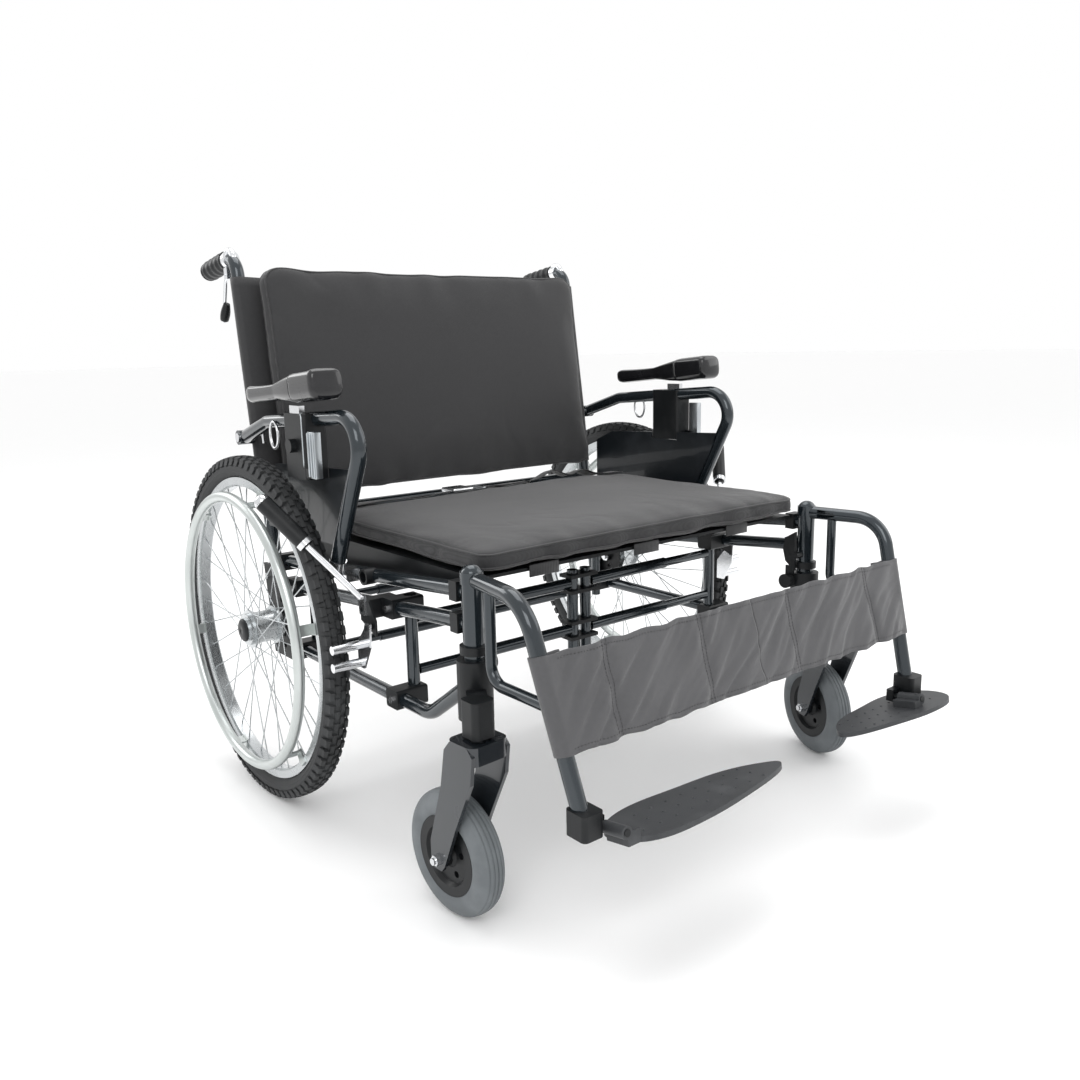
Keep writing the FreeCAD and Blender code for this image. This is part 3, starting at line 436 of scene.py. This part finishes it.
def addRearTyre(side):
    t = rearTyre
    turn = wheelFrame("wheel_spin_" + side)
    mid = t["radius"] - t["section"]
    profile = []
    for i in range(28):
        a = math.radians(-148 + 296 * i / 27)
        bulge = t["section"] - t["blockHigh"] * 0.8
        x = bulge * math.sin(a)
        r = mid + bulge * math.cos(a)
        if r < mid + 0.004:
            x += 0.0009 * math.copysign(1, x) * (1 if int((r - t["seat"]) / 0.003) % 2 else 0)
        profile.append((x, max(r, t["seat"])))
    parts = [spun(profile, turn, 168)]
    width = 0.0078
    pitch = 2 * math.pi / t["blocks"]
    for i in range(t["blocks"]):
        for row in range(t["rows"]):
            x = (row - (t["rows"] - 1) / 2) * 0.0092
            shift = 0.5 * pitch if row % 2 else 0.0
            parts.append(treadBlock(turn, i * pitch + shift, x - width / 2, x + width / 2,
                                    t["radius"] - 0.0062, t["radius"] - 0.0001, pitch * 0.36))
        for way in (-1, 1):
            a = i * pitch
            lug = []
            for r, x in ((mid + 0.0135, 0.0168), (mid + 0.0055, 0.0199)):
                for da in (-pitch * 0.3, pitch * 0.3):
                    for out in (-0.0022, 0.0006):
                        lug.append(turn @ Vector((way * (x + out), r * math.cos(a + da),
                                                  r * math.sin(a + da))))
            parts.append((lug, [(0, 1, 3, 2), (4, 6, 7, 5), (0, 4, 5, 1), (2, 3, 7, 6), (0, 2, 6, 4),
                                (1, 5, 7, 3)]))
    tyre = piece("rearTyre_" + side, *join(*parts), "tyre_rubber", "wheel_" + side, "tyre_rubber",
                 True, ("rear_tyre_" + side,))
    bpy.context.view_layer.objects.active = tyre
    tyre.data.set_sharp_from_angle(angle=math.radians(38))


# caster tyres
casterTyre = {"radius": 0.0914, "inner": 0.0585, "half": 0.0228}


def addCasterTyre(side):
    t = casterTyre
    turn = wheelFrame("caster_spin_" + side)
    crown = []
    count = 61
    for i in range(count):
        u = -1 + 2 * i / (count - 1)
        x = u * t["half"] * 0.86
        r = t["radius"] - 0.013 * abs(u) ** 3.2
        for groove in (-0.62, -0.32, 0.0, 0.32, 0.62):
            r -= 0.0022 * max(0.0, 1 - abs(u - groove) / 0.055)
        crown.append((x, r))
    left = [(-0.0198, t["inner"]), (-t["half"] * 0.96, t["inner"] + 0.004), (-t["half"],
            t["radius"] - 0.024),
            (-t["half"] * 0.97, t["radius"] - 0.017)]
    right = [(-x, r) for x, r in reversed(left)]
    piece("casterTyre_" + side, *spun(left + crown + right, turn, 120), "caster_rubber",
          "roller_" + side,
          "caster_rubber", True, ("caster_tyre_" + side,)).data.set_sharp_from_angle(angle=math.radians(50))


for side in sides:
    addRearTyre(side)
    addCasterTyre(side)
print("tyres made")


# cushions, swelled by cloth pressure
cushions = {
    "seat": {"node": "seat_cushion", "name": "seatPad", "mat": "seat_nylon", "inset": (0.006, 0.006,
            0.007),
             "cap": 0.011, "fill": 0.55, "pressure": 4.0, "seed": 3.1},
    "back": {"node": "back_cushion", "name": "backPad", "mat": "cushion_fabric", "inset": (0.006,
            0.007, 0.006),
             "cap": 0.010, "fill": 0.5, "pressure": 4.0, "seed": 8.7},
}


def depthAt(co, half, thin):
    # 0 at the cushion's sewn rim, 1 well inside
    edge = min(half[i] - abs(co[i]) for i in range(3) if i != thin)
    return max(0.0, min(1.0, edge / 0.09))


def addCushion(kind):
    # blown up upright at the origin, then leaned back and put in place
    c = cushions[kind]
    mesh = bpy.data.objects[c["node"]].data.copy()
    low, high = boxOf(c["node"])
    centre = (low + high) / 2
    angle = math.radians(back["recline"]) if kind == "back" else 0.0
    upright = Matrix.Rotation(angle, 4, "X")
    thin = 1 if kind == "back" else 2
    flat = [upright @ (v.co - centre) for v in mesh.vertices]
    whole = [max(abs(p[i]) for p in flat) for i in range(3)]
    half = [whole[i] - c["inset"][i] for i in range(3)]
    for v, p in zip(mesh.vertices, flat):
        v.co = Vector([p[i] * half[i] / whole[i] for i in range(3)])
    obj = bpy.data.objects.new(c["name"], mesh)
    bpy.context.collection.objects.link(obj)
    mesh.materials.clear()
    mesh.materials.append(mats[c["mat"]])
    remesh = obj.modifiers.new("remesh", "REMESH")
    remesh.mode = "VOXEL"
    remesh.voxel_size = 0.006
    relax = obj.modifiers.new("relax", "SMOOTH")
    relax.factor = 0.5
    relax.iterations = 6
    applyMesh(obj)
    rest = [v.co.copy() for v in obj.data.vertices]
    cloth = obj.modifiers.new("cloth", "CLOTH")
    cloth.settings.use_pressure = True
    cloth.settings.uniform_pressure_force = c["pressure"]
    cloth.settings.effector_weights.gravity = 0
    cloth.settings.quality = 4
    cloth.settings.tension_stiffness = 12
    cloth.settings.compression_stiffness = 12
    cloth.collision_settings.use_collision = False
    for f in range(1, 17):
        bpy.context.scene.frame_set(f)
    applyMesh(obj)
    bpy.context.scene.frame_set(1)
    moves = [v.co - r for v, r in zip(obj.data.vertices, rest)]
    print(kind, "cushion swelled by", round(max(m.length for m in moves), 4))
    share = min(1.0, c["cap"] / max(m.length for m in moves))
    for v, r, m in zip(obj.data.vertices, rest, moves):
        v.co = r + m * share
    obj.data.update()
    ruck(obj, c["seed"], half, thin)
    reclined = Matrix.Rotation(-angle, 4, "X")
    for v in obj.data.vertices:
        v.co = centre + reclined @ v.co
    smooth = obj.modifiers.new("subdivision", "SUBSURF")
    smooth.levels = smooth.render_levels = 1
    for poly in obj.data.polygons:
        poly.use_smooth = True
    settle(obj, "frame", (c["node"],))
    return obj


def applyMesh(obj):
    shown = obj.evaluated_get(bpy.context.evaluated_depsgraph_get())
    final = bpy.data.meshes.new_from_object(shown)
    obj.modifiers.clear()
    obj.data = final


def ruck(obj, seed, half, thin):
    # gathers where the cover is sewn to its border, slack folds over the field
    up = 2 if thin == 1 else 1
    for v in obj.data.vertices:
        co = v.co
        near = depthAt(co, half, thin)
        low = max(0.0, min(1.0, -co[up] / half[up]))
        gather = noise.noise(Vector((co.x * 22, seed, co[up] * 11))) * (1 - near) * 0.0050
        slack = noise.noise(Vector((co.x * 4, co[up] * 6, seed))) * 0.0030 * near
        warp = noise.noise(Vector((co.x * 6, co[up] * 5, seed + 9)))
        fold = noise.noise(Vector((co.x * 17 + warp * 3, co[up] * 5 - co.x * 4, seed + 4)))
        crease = max(0.0, 1 - abs(fold) * 7) ** 2 * 0.0016 * low * near
        v.co = co + v.normal * (gather + slack - crease)


pads = {kind: addCushion(kind) for kind in cushions}
print("cushions made")


def surfaceOf(obj):
    shown = obj.evaluated_get(bpy.context.evaluated_depsgraph_get())
    mesh = shown.to_mesh()
    tree = BVHTree.FromPolygons([v.co.copy() for v in mesh.vertices],
                                [tuple(p.vertices) for p in mesh.polygons])
    shown.to_mesh_clear()
    return tree


trees = {kind: surfaceOf(obj) for kind, obj in pads.items()}


def roundedLoop(halfX, halfY, corner, count=40):
    points = []
    for cx, cy, start in ((1, 1, 0), (-1, 1, 90), (-1, -1, 180), (1, -1, 270)):
        for i in range(count // 4 + 1):
            a = math.radians(start + 90 * i / (count // 4))
            points.append((cx * (halfX - corner) + corner * math.cos(a),
                           cy * (halfY - corner) + corner * math.sin(a)))
    dense = []
    for i, p in enumerate(points):
        q = points[(i + 1) % len(points)]
        steps = max(1, int(math.dist(p, q) / 0.012))
        dense += [(p[0] + (q[0] - p[0]) * k / steps,
                   p[1] + (q[1] - p[1]) * k / steps) for k in range(steps)]
    return dense


piping = {"radius": 0.0019, "corner": 0.030}


def addPiping():
    low, high = boxOf("seat_cushion")
    mid = (low + high) / 2
    loops = []
    for z in (high.z - 0.005, low.z + 0.007):
        loops.append(("seat", [Vector((mid.x + x, mid.y + y, z)) for x, y in
                               roundedLoop((high.x - low.x) / 2, (high.y - low.y) / 2,
                                           piping["corner"])]))
    half = (boxOf("back_cushion")[1].x)
    for y in (-0.058, -0.020):
        loops.append(("back", [lean(x, y, 0.214 + up) for x, up in roundedLoop(half, 0.212,
                piping["corner"])]))
    for i, (kind, loop) in enumerate(loops):
        onCover = [trees[kind].find_nearest(p)[0] for p in loop]
        for k in range(2):
            onCover = [(onCover[j - 1] + onCover[j] * 2 + onCover[(j + 1) % len(onCover)]) / 4
                       for j in range(len(onCover))]
        piece("piping_%d" % i, *tube(onCover, piping["radius"], 8, True), "webbing", "frame",
              "cushion_fabric")


addPiping()
print("piping sewn")


# back sling
sling = {"low": 0.012, "high": 0.408, "sleeve": 0.0138, "sag": 0.006, "thick": 0.0014}


def slingSection():
    # the cloth runs round the outside of one cane, across behind the cushion, and round the other
    r = sling["sleeve"]
    line = []
    for i in range(13):
        a = math.radians(-60 + 250 * (1 - i / 12) - 10)
        line.append((back["caneX"] + r * math.cos(a), r * math.sin(a)))
    across = 30
    for i in range(1, across):
        x = (back["caneX"] - 0.012) * (1 - 2 * i / across)
        line.append((x, -r * 0.55 + sling["sag"] * (1 - (x / back["caneX"]) ** 2)))
    return line + [(-x, y) for x, y in reversed(line[:13])]


def addSling():
    line = slingSection()
    rows = 24
    verts, faces = [], []
    for i in range(rows + 1):
        up = sling["low"] + (sling["high"] - sling["low"]) * i / rows
        for j, (x, y) in enumerate(line):
            ripple = 0.0012 * noise.noise(Vector((x * 14, up * 9, 2.0)))
            verts.append(lean(x, y + ripple, up))
    n = len(line)
    for i in range(rows):
        for j in range(n - 1):
            a = i * n + j
            faces.append((a, a + 1, a + n + 1, a + n))
    obj = piece("backSling", verts, faces, "cushion_fabric", "frame", "cushion_fabric", True,
                ("back_sling",))
    shell = obj.modifiers.new("thickness", "SOLIDIFY")
    shell.thickness = sling["thick"]
    shell.offset = 0
    for k, up in enumerate((sling["low"] + 0.012, sling["high"] - 0.012)):
        hem = [lean(x, y + 0.0012, up) for x, y in line[13:-13]]
        piece("slingHem_%d" % k, *tube(hem, 0.0011, 6), "webbing", "frame", "cushion_fabric")


addSling()
print("sling stretched")


# calf strap, one half on each leg rest
calf = {"tube": 0.0130, "thick": 0.0022, "foot": (0.368, -0.775, 0.198), "knee": (0.394, -0.697, 0.478),
        "low": 0.289, "high": 0.411, "seams": {"r": (0.292, 0.112), "l": (0.085,
                0.292)}, "keep": 0.1, "ahead": Vector((0, -0.963, 0.268))}


def shank(z):
    a, b = Vector(calf["foot"]), Vector(calf["knee"])
    t = (z - a.z) / (b.z - a.z)
    return a + (b - a) * t


def calfPoint(side, run, v):
    # run goes from the middle of the chair out along the front, then round the tube and back inboard
    z = calf["low"] + (calf["high"] - calf["low"]) * v
    p = shank(z)
    r = calf["tube"]
    front = p.x
    ahead = calf["ahead"]
    lip = 0.045
    arc = math.pi * r
    pinch = 0.0
    for seam in calf["seams"][side]:
        pinch = max(pinch, math.exp(-((run - seam) / 0.010) ** 2))
    if run <= front:
        x = run
        # long soft folds that lean from the lower hem up towards the seams
        own = sides[side] * x
        up = z - calf["low"]
        bend = noise.noise(Vector((own * 9, up * 10, 2.2))) * 0.016
        across = own * 0.66 - up * 0.75 + bend
        along = own * 0.75 + up * 0.66
        fold = noise.noise(Vector((across * 42, along * 7, 1.3))) * 0.0075
        fold += noise.noise(Vector((across * 95, along * 14, 4.1))) * 0.0026
        fold += noise.noise(Vector((own * 8, up * 12, 6.4))) * 0.0030
        sag = 0.004 * math.sin(math.pi * min(1.0, x / front))
        hold = min(1.0, (front - x) / 0.03)
        off = r + (fold + sag * 0.5) * hold * (1 - 0.7 * pinch) - 0.0022 * pinch
    elif run <= front + arc:
        a = (run - front) / r
        x = front + r * math.sin(a)
        off = r * math.cos(a)
    else:
        x = front - (run - front - arc)
        off = -r + 0.4 * min(1.0, (run - front - arc) / lip) * r
    base = Vector((x, p.y, z)) + ahead * off
    dip = 0.0035 * noise.noise(Vector((x * 30, 7.0, 0.0))) * (abs(v - 0.5) * 2) ** 3
    base.z += dip
    return at(sides[side] * base.x, base.y, base.z)


def addCalfStrap(side):
    gap = 0.0005
    total = shank(0.35).x + math.pi * calf["tube"] + 0.045
    runs = [gap + (total - gap) * i / 230 for i in range(231)]
    rows = 34
    verts = [calfPoint(side, run, i / rows) for i in range(rows + 1) for run in runs]
    n = len(runs)
    faces = [(i * n + j, i * n + j + 1, (i + 1) * n + j + 1, (i + 1) * n + j)
             for i in range(rows) for j in range(n - 1)]
    obj = piece("calfStrap_" + side, verts, faces, "strap_fabric", "legrest_" + side, "strap_fabric",
                True,
                ("calf_strap_" + side,))
    shell = obj.modifiers.new("thickness", "SOLIDIFY")
    shell.thickness = calf["thick"]
    shell.offset = 0
    applyMesh(obj)
    for poly in obj.data.polygons:
        poly.use_smooth = True
    stitches = []
    for seam in calf["seams"][side]:
        for way in (-0.0035, 0.0035):
            stitches += [(seam + way, (k + 0.5) / 26, 0.0, 0.0016) for k in range(26)]
    for v in (0.055, 0.945):
        stitches += [(k * 0.0052 + 0.004, v, 0.0016, 0.0) for k in range(int(0.37 / 0.0052))]
    parts = []
    for run, v, dRun, dV in stitches:
        dv = dV / (calf["high"] - calf["low"])
        a, b = calfPoint(side, run - dRun, v - dv), calfPoint(side, run + dRun, v + dv)
        proud = calf["ahead"] * 0.0013
        parts.append(tube([a + proud, b + proud], 0.00045, 5))
    thread = piece("calfStitches_" + side, *join(*parts), "webbing", "legrest_" + side, "strap_fabric")
    reach = at(sides[side] * shank(0.35).x, shank(0.35).y, 0.35)
    for soft in (obj, thread):
        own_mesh(soft)


for side in sides:
    addCalfStrap(side)
print("calf strap hung")


# arm pads
armPad = {"tilt": 6.2, "length": 0.258, "thick": 0.0475, "sections": 44, "around": 36, "cap": 0.30}


def padRing(side, t, grow):
    low, high = boxOf("arm_pad_" + side)
    tilt = math.radians(armPad["tilt"])
    front = Vector(((low.x + high.x) / 2, low.y + 0.004, high.z - 0.0008))
    along = Vector((0, math.cos(tilt), -math.sin(tilt)))
    up = Vector((0, math.sin(tilt), math.cos(tilt)))
    fall = min(1.0, max(0.0, (t - 0.26) / 0.30)) ** 1.5
    end = min(1.0, min(t / 0.045, (1 - t) / 0.075))
    nose = math.sqrt(max(0.0, 1 - (1 - end) ** 2)) * 0.97 + 0.03
    half = (high.x - low.x) / 2 * (0.98 - 0.10 * fall) * (0.74 + 0.26 * nose) * grow
    thick = armPad["thick"] * (1.0 - 0.36 * fall) * (0.62 + 0.38 * nose)
    dish = 0.0035 * math.sin(math.pi * min(1.0, max(0.0, (t - 0.25) / 0.7)))
    ring = []
    for k in range(armPad["around"]):
        a = 2 * math.pi * k / armPad["around"]
        cx = math.copysign(abs(math.cos(a)) ** 0.46, math.cos(a))
        cz = math.copysign(abs(math.sin(a)) ** (0.46 if math.sin(a) > 0 else 0.7), math.sin(a))
        drop = dish * max(0.0, math.sin(a))
        z = -armPad["thick"] * (0.5 - 0.12 * t) + cz * thick * 0.5 * grow - drop - 0.0010
        ring.append(front + along * (t * armPad["length"]) + up * z + Vector((half * cx, 0, 0)))
    return ring


def addArmPad(side):
    split = armPad["cap"]
    steps = armPad["sections"]
    rear = [padRing(side, split + 0.006 + (0.999 - split - 0.006) * i / steps,
                    0.97) for i in range(steps + 1)]
    cap = [padRing(side, 0.001 + (split - 0.001) * i / steps, 1.0) for i in range(steps + 1)]
    seam = [padRing(side, split - 0.004 + 0.016 * i / 2, 0.93) for i in range(3)]
    piece("armPad_" + side, *loft(rear), "gloss_pad", "pad_" + side, "gloss_pad", True,
          ("arm_pad_" + side,))
    piece("armPadCap_" + side, *loft(cap), "gloss_pad", "pad_" + side, "gloss_pad")
    piece("armPadJoint_" + side, *loft(seam), "black_plastic", "pad_" + side, "gloss_pad")


for side in sides:
    addArmPad(side)
print("arm pads made")


# push grips and attendant levers
grip = {"radius": 0.0185, "length": 0.101, "waves": 5}


def addGrip(side):
    s = sides[side]
    low, high = boxOf("push_grips")
    a = math.radians(back["recline"])
    along = Vector((0, math.cos(a), -math.sin(a)))
    mid = Vector((s * back["caneX"], (low.y + high.y) / 2, (low.z + high.z) / 2))
    points, radii = [], []
    count = 70
    for i in range(count + 1):
        t = i / count
        points.append(mid + along * ((t - 0.5) * grip["length"]))
        wave = 0.0011 * math.cos(2 * math.pi * grip["waves"] * t) * (1 if 0.08 < t < 0.92 else 0)
        flange = 0.0 if t > 0.05 else 0.0004
        dome = math.sqrt(max(0.02, 1 - max(0.0, (t - 0.93) / 0.07) ** 2))
        radii.append((grip["radius"] - 0.0013 + wave + flange) * dome)
    verts, faces = tube(points, lambda t: radii[min(count, int(round(t * count)))], 28)
    return verts, faces


def addGrips():
    made = join(*[addGrip(side) for side in sides])
    piece("pushGrips", *made, "black_plastic", "frame", "black_plastic", True, ("push_grips",))
    for side, s in sides.items():
        mount = boxOf("brake_mounts")
        x = s * back["caneX"]
        top = Vector((x, (mount[0].y + mount[1].y) / 2, mount[1].z))
        hood = []
        for i in range(15):
            a = math.radians(200 - 220 * i / 14)
            hood.append(top + Vector((0, 0.001 + 0.020 * math.cos(a), -0.020 + 0.0185 * math.sin(a))))
        piece("leverHood_" + side, *tube(hood, 0.0062, 14), "bright_steel", "frame", "bright_steel")
        lever = boxOf("brake_lever_" + side)
        tip = Vector((x, lever[1].y - 0.007, lever[0].z + 0.006))
        root = tip + Vector((0, -0.018, 0.0285))
        piece("leverTip_" + side, *tube([root + (tip - root) * (i / 9) for i in range(10)],
                                        lambda t: 0.0058 + 0.0030 * math.sin(math.pi * min(1,
                                                t * 0.8)), 14),
              "black_plastic", "brake_" + side, "black_plastic")


addGrips()
print("grips moulded")


# lap belt
belt = {"half": 0.019, "thick": 0.0016}


def onSeat(x, y, lift):
    hit = trees["seat"].ray_cast(Vector((x, y, 0.9)), Vector((0, 0, -1)))[0]
    z = hit.z if hit else boxOf("seat_cushion")[1].z - 0.006
    return Vector((x, y, z + lift))


def addBelt():
    rear = boxOf("seat_cushion")[1].y
    route = []
    for i in range(90):
        x = -0.335 + 0.67 * i / 89
        y = rear - 0.036 + 0.009 * math.sin(x * 11 + 0.6) + 0.004 * math.sin(x * 31)
        hump = 0.015 * math.exp(-((x - 0.16) / 0.030) ** 2) + 0.009 * math.exp(-((x - 0.235) / 0.022) ** 2)
        route.append((x, y, 0.0026 + hump))
    verts = []
    for x, y, lift in route:
        for k in (-1, -0.5, 0, 0.5, 1):
            twist = 0.35 * math.exp(-((x - 0.16) / 0.05) ** 2)
            verts.append(onSeat(x, y + k * belt["half"] * (1 - twist),
                                lift + 0.004 * twist * k + 0.0012))
    faces = [(i * 5 + j, i * 5 + j + 1, i * 5 + j + 6,
              i * 5 + j + 5) for i in range(89) for j in range(4)]
    obj = piece("lapBelt", verts, faces, "webbing", "frame", "webbing", True, ("lap_belt",))
    shell = obj.modifiers.new("thickness", "SOLIDIFY")
    shell.thickness = belt["thick"]
    shell.offset = 1
    low, high = boxOf("belt_buckle")
    mid = onSeat((low.x + high.x) / 2, rear - 0.036, 0.0075)
    soften(piece("buckleBody", *boxMesh(mid - Vector((0.030, 0.022, 0.0042)), mid + Vector((0.016,
            0.022, 0.0042))),
                        "bright_steel", "frame", "black_plastic", False, ("belt_buckle",)), 0.0028, 3)
    soften(piece("buckleButton", *boxMesh(mid + Vector((-0.022, -0.012, 0.0036)),
                                          mid + Vector((-0.006, 0.012, 0.0056))),
                 "black_plastic", "frame", "black_plastic", False), 0.0012, 2)
    soften(piece("buckleTongue", *boxMesh(mid + Vector((0.014, -0.019, -0.0024)), mid + Vector((0.046,
            0.019, 0.0012))),
                 "light_rod", "frame", "bright_steel", False), 0.001, 2)


addBelt()
print("belt laid")


# footplate trim
def addFootTrim(side):
    low, high = boxOf("footplate_" + side)
    plate = bpy.data.objects["footplate_" + side]
    tree = BVHTree.FromPolygons([v.co.copy() for v in plate.data.vertices],
                                [tuple(p.vertices) for p in plate.data.polygons])
    heads = []
    for i in range(9):
        for j in range(3):
            x = low.x + (high.x - low.x) * (0.14 + 0.086 * i)
            y = low.y + (high.y - low.y) * (0.30 + 0.21 * j)
            hit, normal = tree.ray_cast(Vector((x, y, 0.4)), Vector((0, 0, -1)))[:2]
            if hit is None or normal.z < 0.9 or hit.z > high.z + 0.001:
                continue
            ring = [(0.0, 0.0011), (0.0011, 0.0010), (0.0019, 0.0006), (0.0023, -0.0004)]
            rings = [[hit + Vector((r * math.cos(a), r * math.sin(a), z)) for a in
                      (2 * math.pi * k / 10 for k in range(10))] for r, z in ring[1:]]
            heads.append(loft(rings))
    if heads:
        piece("footStuds_" + side, *join(*heads), "footplate_grey", "foot_" + side, "footplate_grey")


for side in sides:
    addFootTrim(side)


# arm and wheel lock trim
def addArmTrim(side):
    s = sides[side]
    low = boxOf("arm_box_" + side)[0]
    x0, x1 = sorted((s * 0.4255, s * 0.4375))
    y = low.y - 0.0045
    ribs = [boxMesh((x0, y - 0.027, 0.590), (x1, y - 0.004, 0.662))]
    for k in range(3):
        yy = y - 0.0255 + 0.0085 * k
        edge = sorted((s * 0.4370, s * 0.4392))
        ribs.append(boxMesh((edge[0], yy, 0.592), (edge[1], yy + 0.0040, 0.660)))
    soften(piece("armRail_" + side, *join(*ribs), "light_rod", "arm_" + side, "bright_steel", False),
           0.0008, 2)
    arm = boxMesh((min(x0, s * 0.43), y - 0.008, 0.590), (max(x1, s * 0.43), low.y + 0.002, 0.604))
    piece("armRailFoot_" + side, *arm, "black_plastic", "arm_" + side, "black_plastic", False)
    ringAt = Vector((s * 0.4262, axle.y - 0.075, 0.648))
    ring = [ringAt + Vector((0, 0.015 * math.cos(a), 0.022 * math.sin(a))) for a in
            (2 * math.pi * k / 36 for k in range(36))]
    piece("armRing_" + side, *tube(ring, 0.0024, 8, True), "bright_steel", "arm_" + side,
          "bright_steel")
    if side == "l":
        return
    lip = [Vector((s * 0.4382, low.y + 0.006, 0.690 - 0.012 * k)) for k in range(8)]
    piece("armEdge_" + side, *tube(lip, 0.0014, 8), "light_rod", "arm_" + side, "bright_steel")


def addLockGrip(side):
    # a rubber sleeve over the upper part of the lever
    s = sides[side]
    end = Vector((s * 0.517, axle.y - 0.222, 0.562))
    start = Vector((s * 0.415, axle.y - 0.322, 0.414))
    way = (end - start).normalized()
    points = [end - way * (0.0935 * (1 - k / 30)) + way * 0.0122 * (k / 30) for k in range(31)]
    verts, faces = tube(points, lambda t: 0.0133 * min(1.0, 0.72 + t * 3.0) *
                        math.sqrt(max(0.03, 1 - max(0.0, (t - 0.86) / 0.14) ** 2)), 24)
    piece("lockSleeve_" + side, verts, faces, "black_plastic", "lock_" + side, "black_plastic")


for side in sides:
    addArmTrim(side)
    addLockGrip(side)
print("trim fitted")


# seat tabs and hub caps
def addTabs():
    low = boxOf("seat_cushion")[0]
    tabs = []
    for x in (-0.26, -0.05, 0.17):
        tabs.append(boxMesh((x, low.y + 0.018, low.z - 0.014), (x + 0.055, low.y + 0.0205,
                low.z + 0.004)))
    soften(piece("seatTabs", *join(*tabs), "webbing", "frame", "webbing", False), 0.0007, 1)


def addHubCap(side):
    turn = wheelFrame("wheel_spin_" + side)
    s = sides[side]
    hub = boxOf("rear_wheel_" + side)
    out = (hub[1].x if s > 0 else -hub[0].x) - abs(axle.x)
    cap = [(s * (out - 0.0005), 0.0205), (s * (out + 0.002), 0.020), (s * (out + 0.0045), 0.016),
           (s * (out + 0.0055), 0.009), (s * (out + 0.0055), 0.0005)]
    piece("hubCap_" + side, *spun(cap + [(s * (out - 0.0005), 0.0005)], turn, 48), "black_plastic",
          "wheel_" + side, "black_plastic")


addTabs()
for side in sides:
    addHubCap(side)


# floor and lights
def addStudio():
    floor = Shade("floorPaint")
    cloud = floor.noise(3.0, 2.0)
    floor.set(Base_Color=floor.mix(cloud, rgb(.965, .965, .965), rgb(.98, .98, .98)), Roughness=0.55)
    mesh = bpy.data.meshes.new("floor")
    mesh.from_pydata([(-60, -60, 0), (60, -60, 0), (60, 60, 0), (-60, 60, 0)], [], [(0, 1, 2, 3)])
    mesh.materials.append(floor.mat)
    ground = bpy.data.objects.new("floor", mesh)
    bpy.context.collection.objects.link(ground)
    world = bpy.data.worlds.new("studio")
    world.use_nodes = True
    world.node_tree.nodes["Background"].inputs[0].default_value = rgb(1, 1, 1)
    world.node_tree.nodes["Background"].inputs[1].default_value = 1.0
    bpy.context.scene.world = world
    bpy.context.scene.view_settings.view_transform = "Standard"
    for name, where, size, power in (("key", (-2.6, -2.6, 3.0), 2.2, 50), ("fill", (2.8, -1.6, 2.4),
            2.5, 26),
                                     ("top", (0.2, 0.6, 3.6), 2.4, 44), ("rim", (-1.5, 3.0, 2.2), 1.6,
                                             22)):
        light = bpy.data.lights.new(name, "AREA")
        light.size = size
        light.energy = power
        lamp = bpy.data.objects.new(name, light)
        bpy.context.collection.objects.link(lamp)
        lamp.location = where
        lamp.rotation_euler = (Vector(where) - Vector((0, 0, 0.45))).to_track_quat("Z", "Y").to_euler()


addStudio()
print("studio lit")
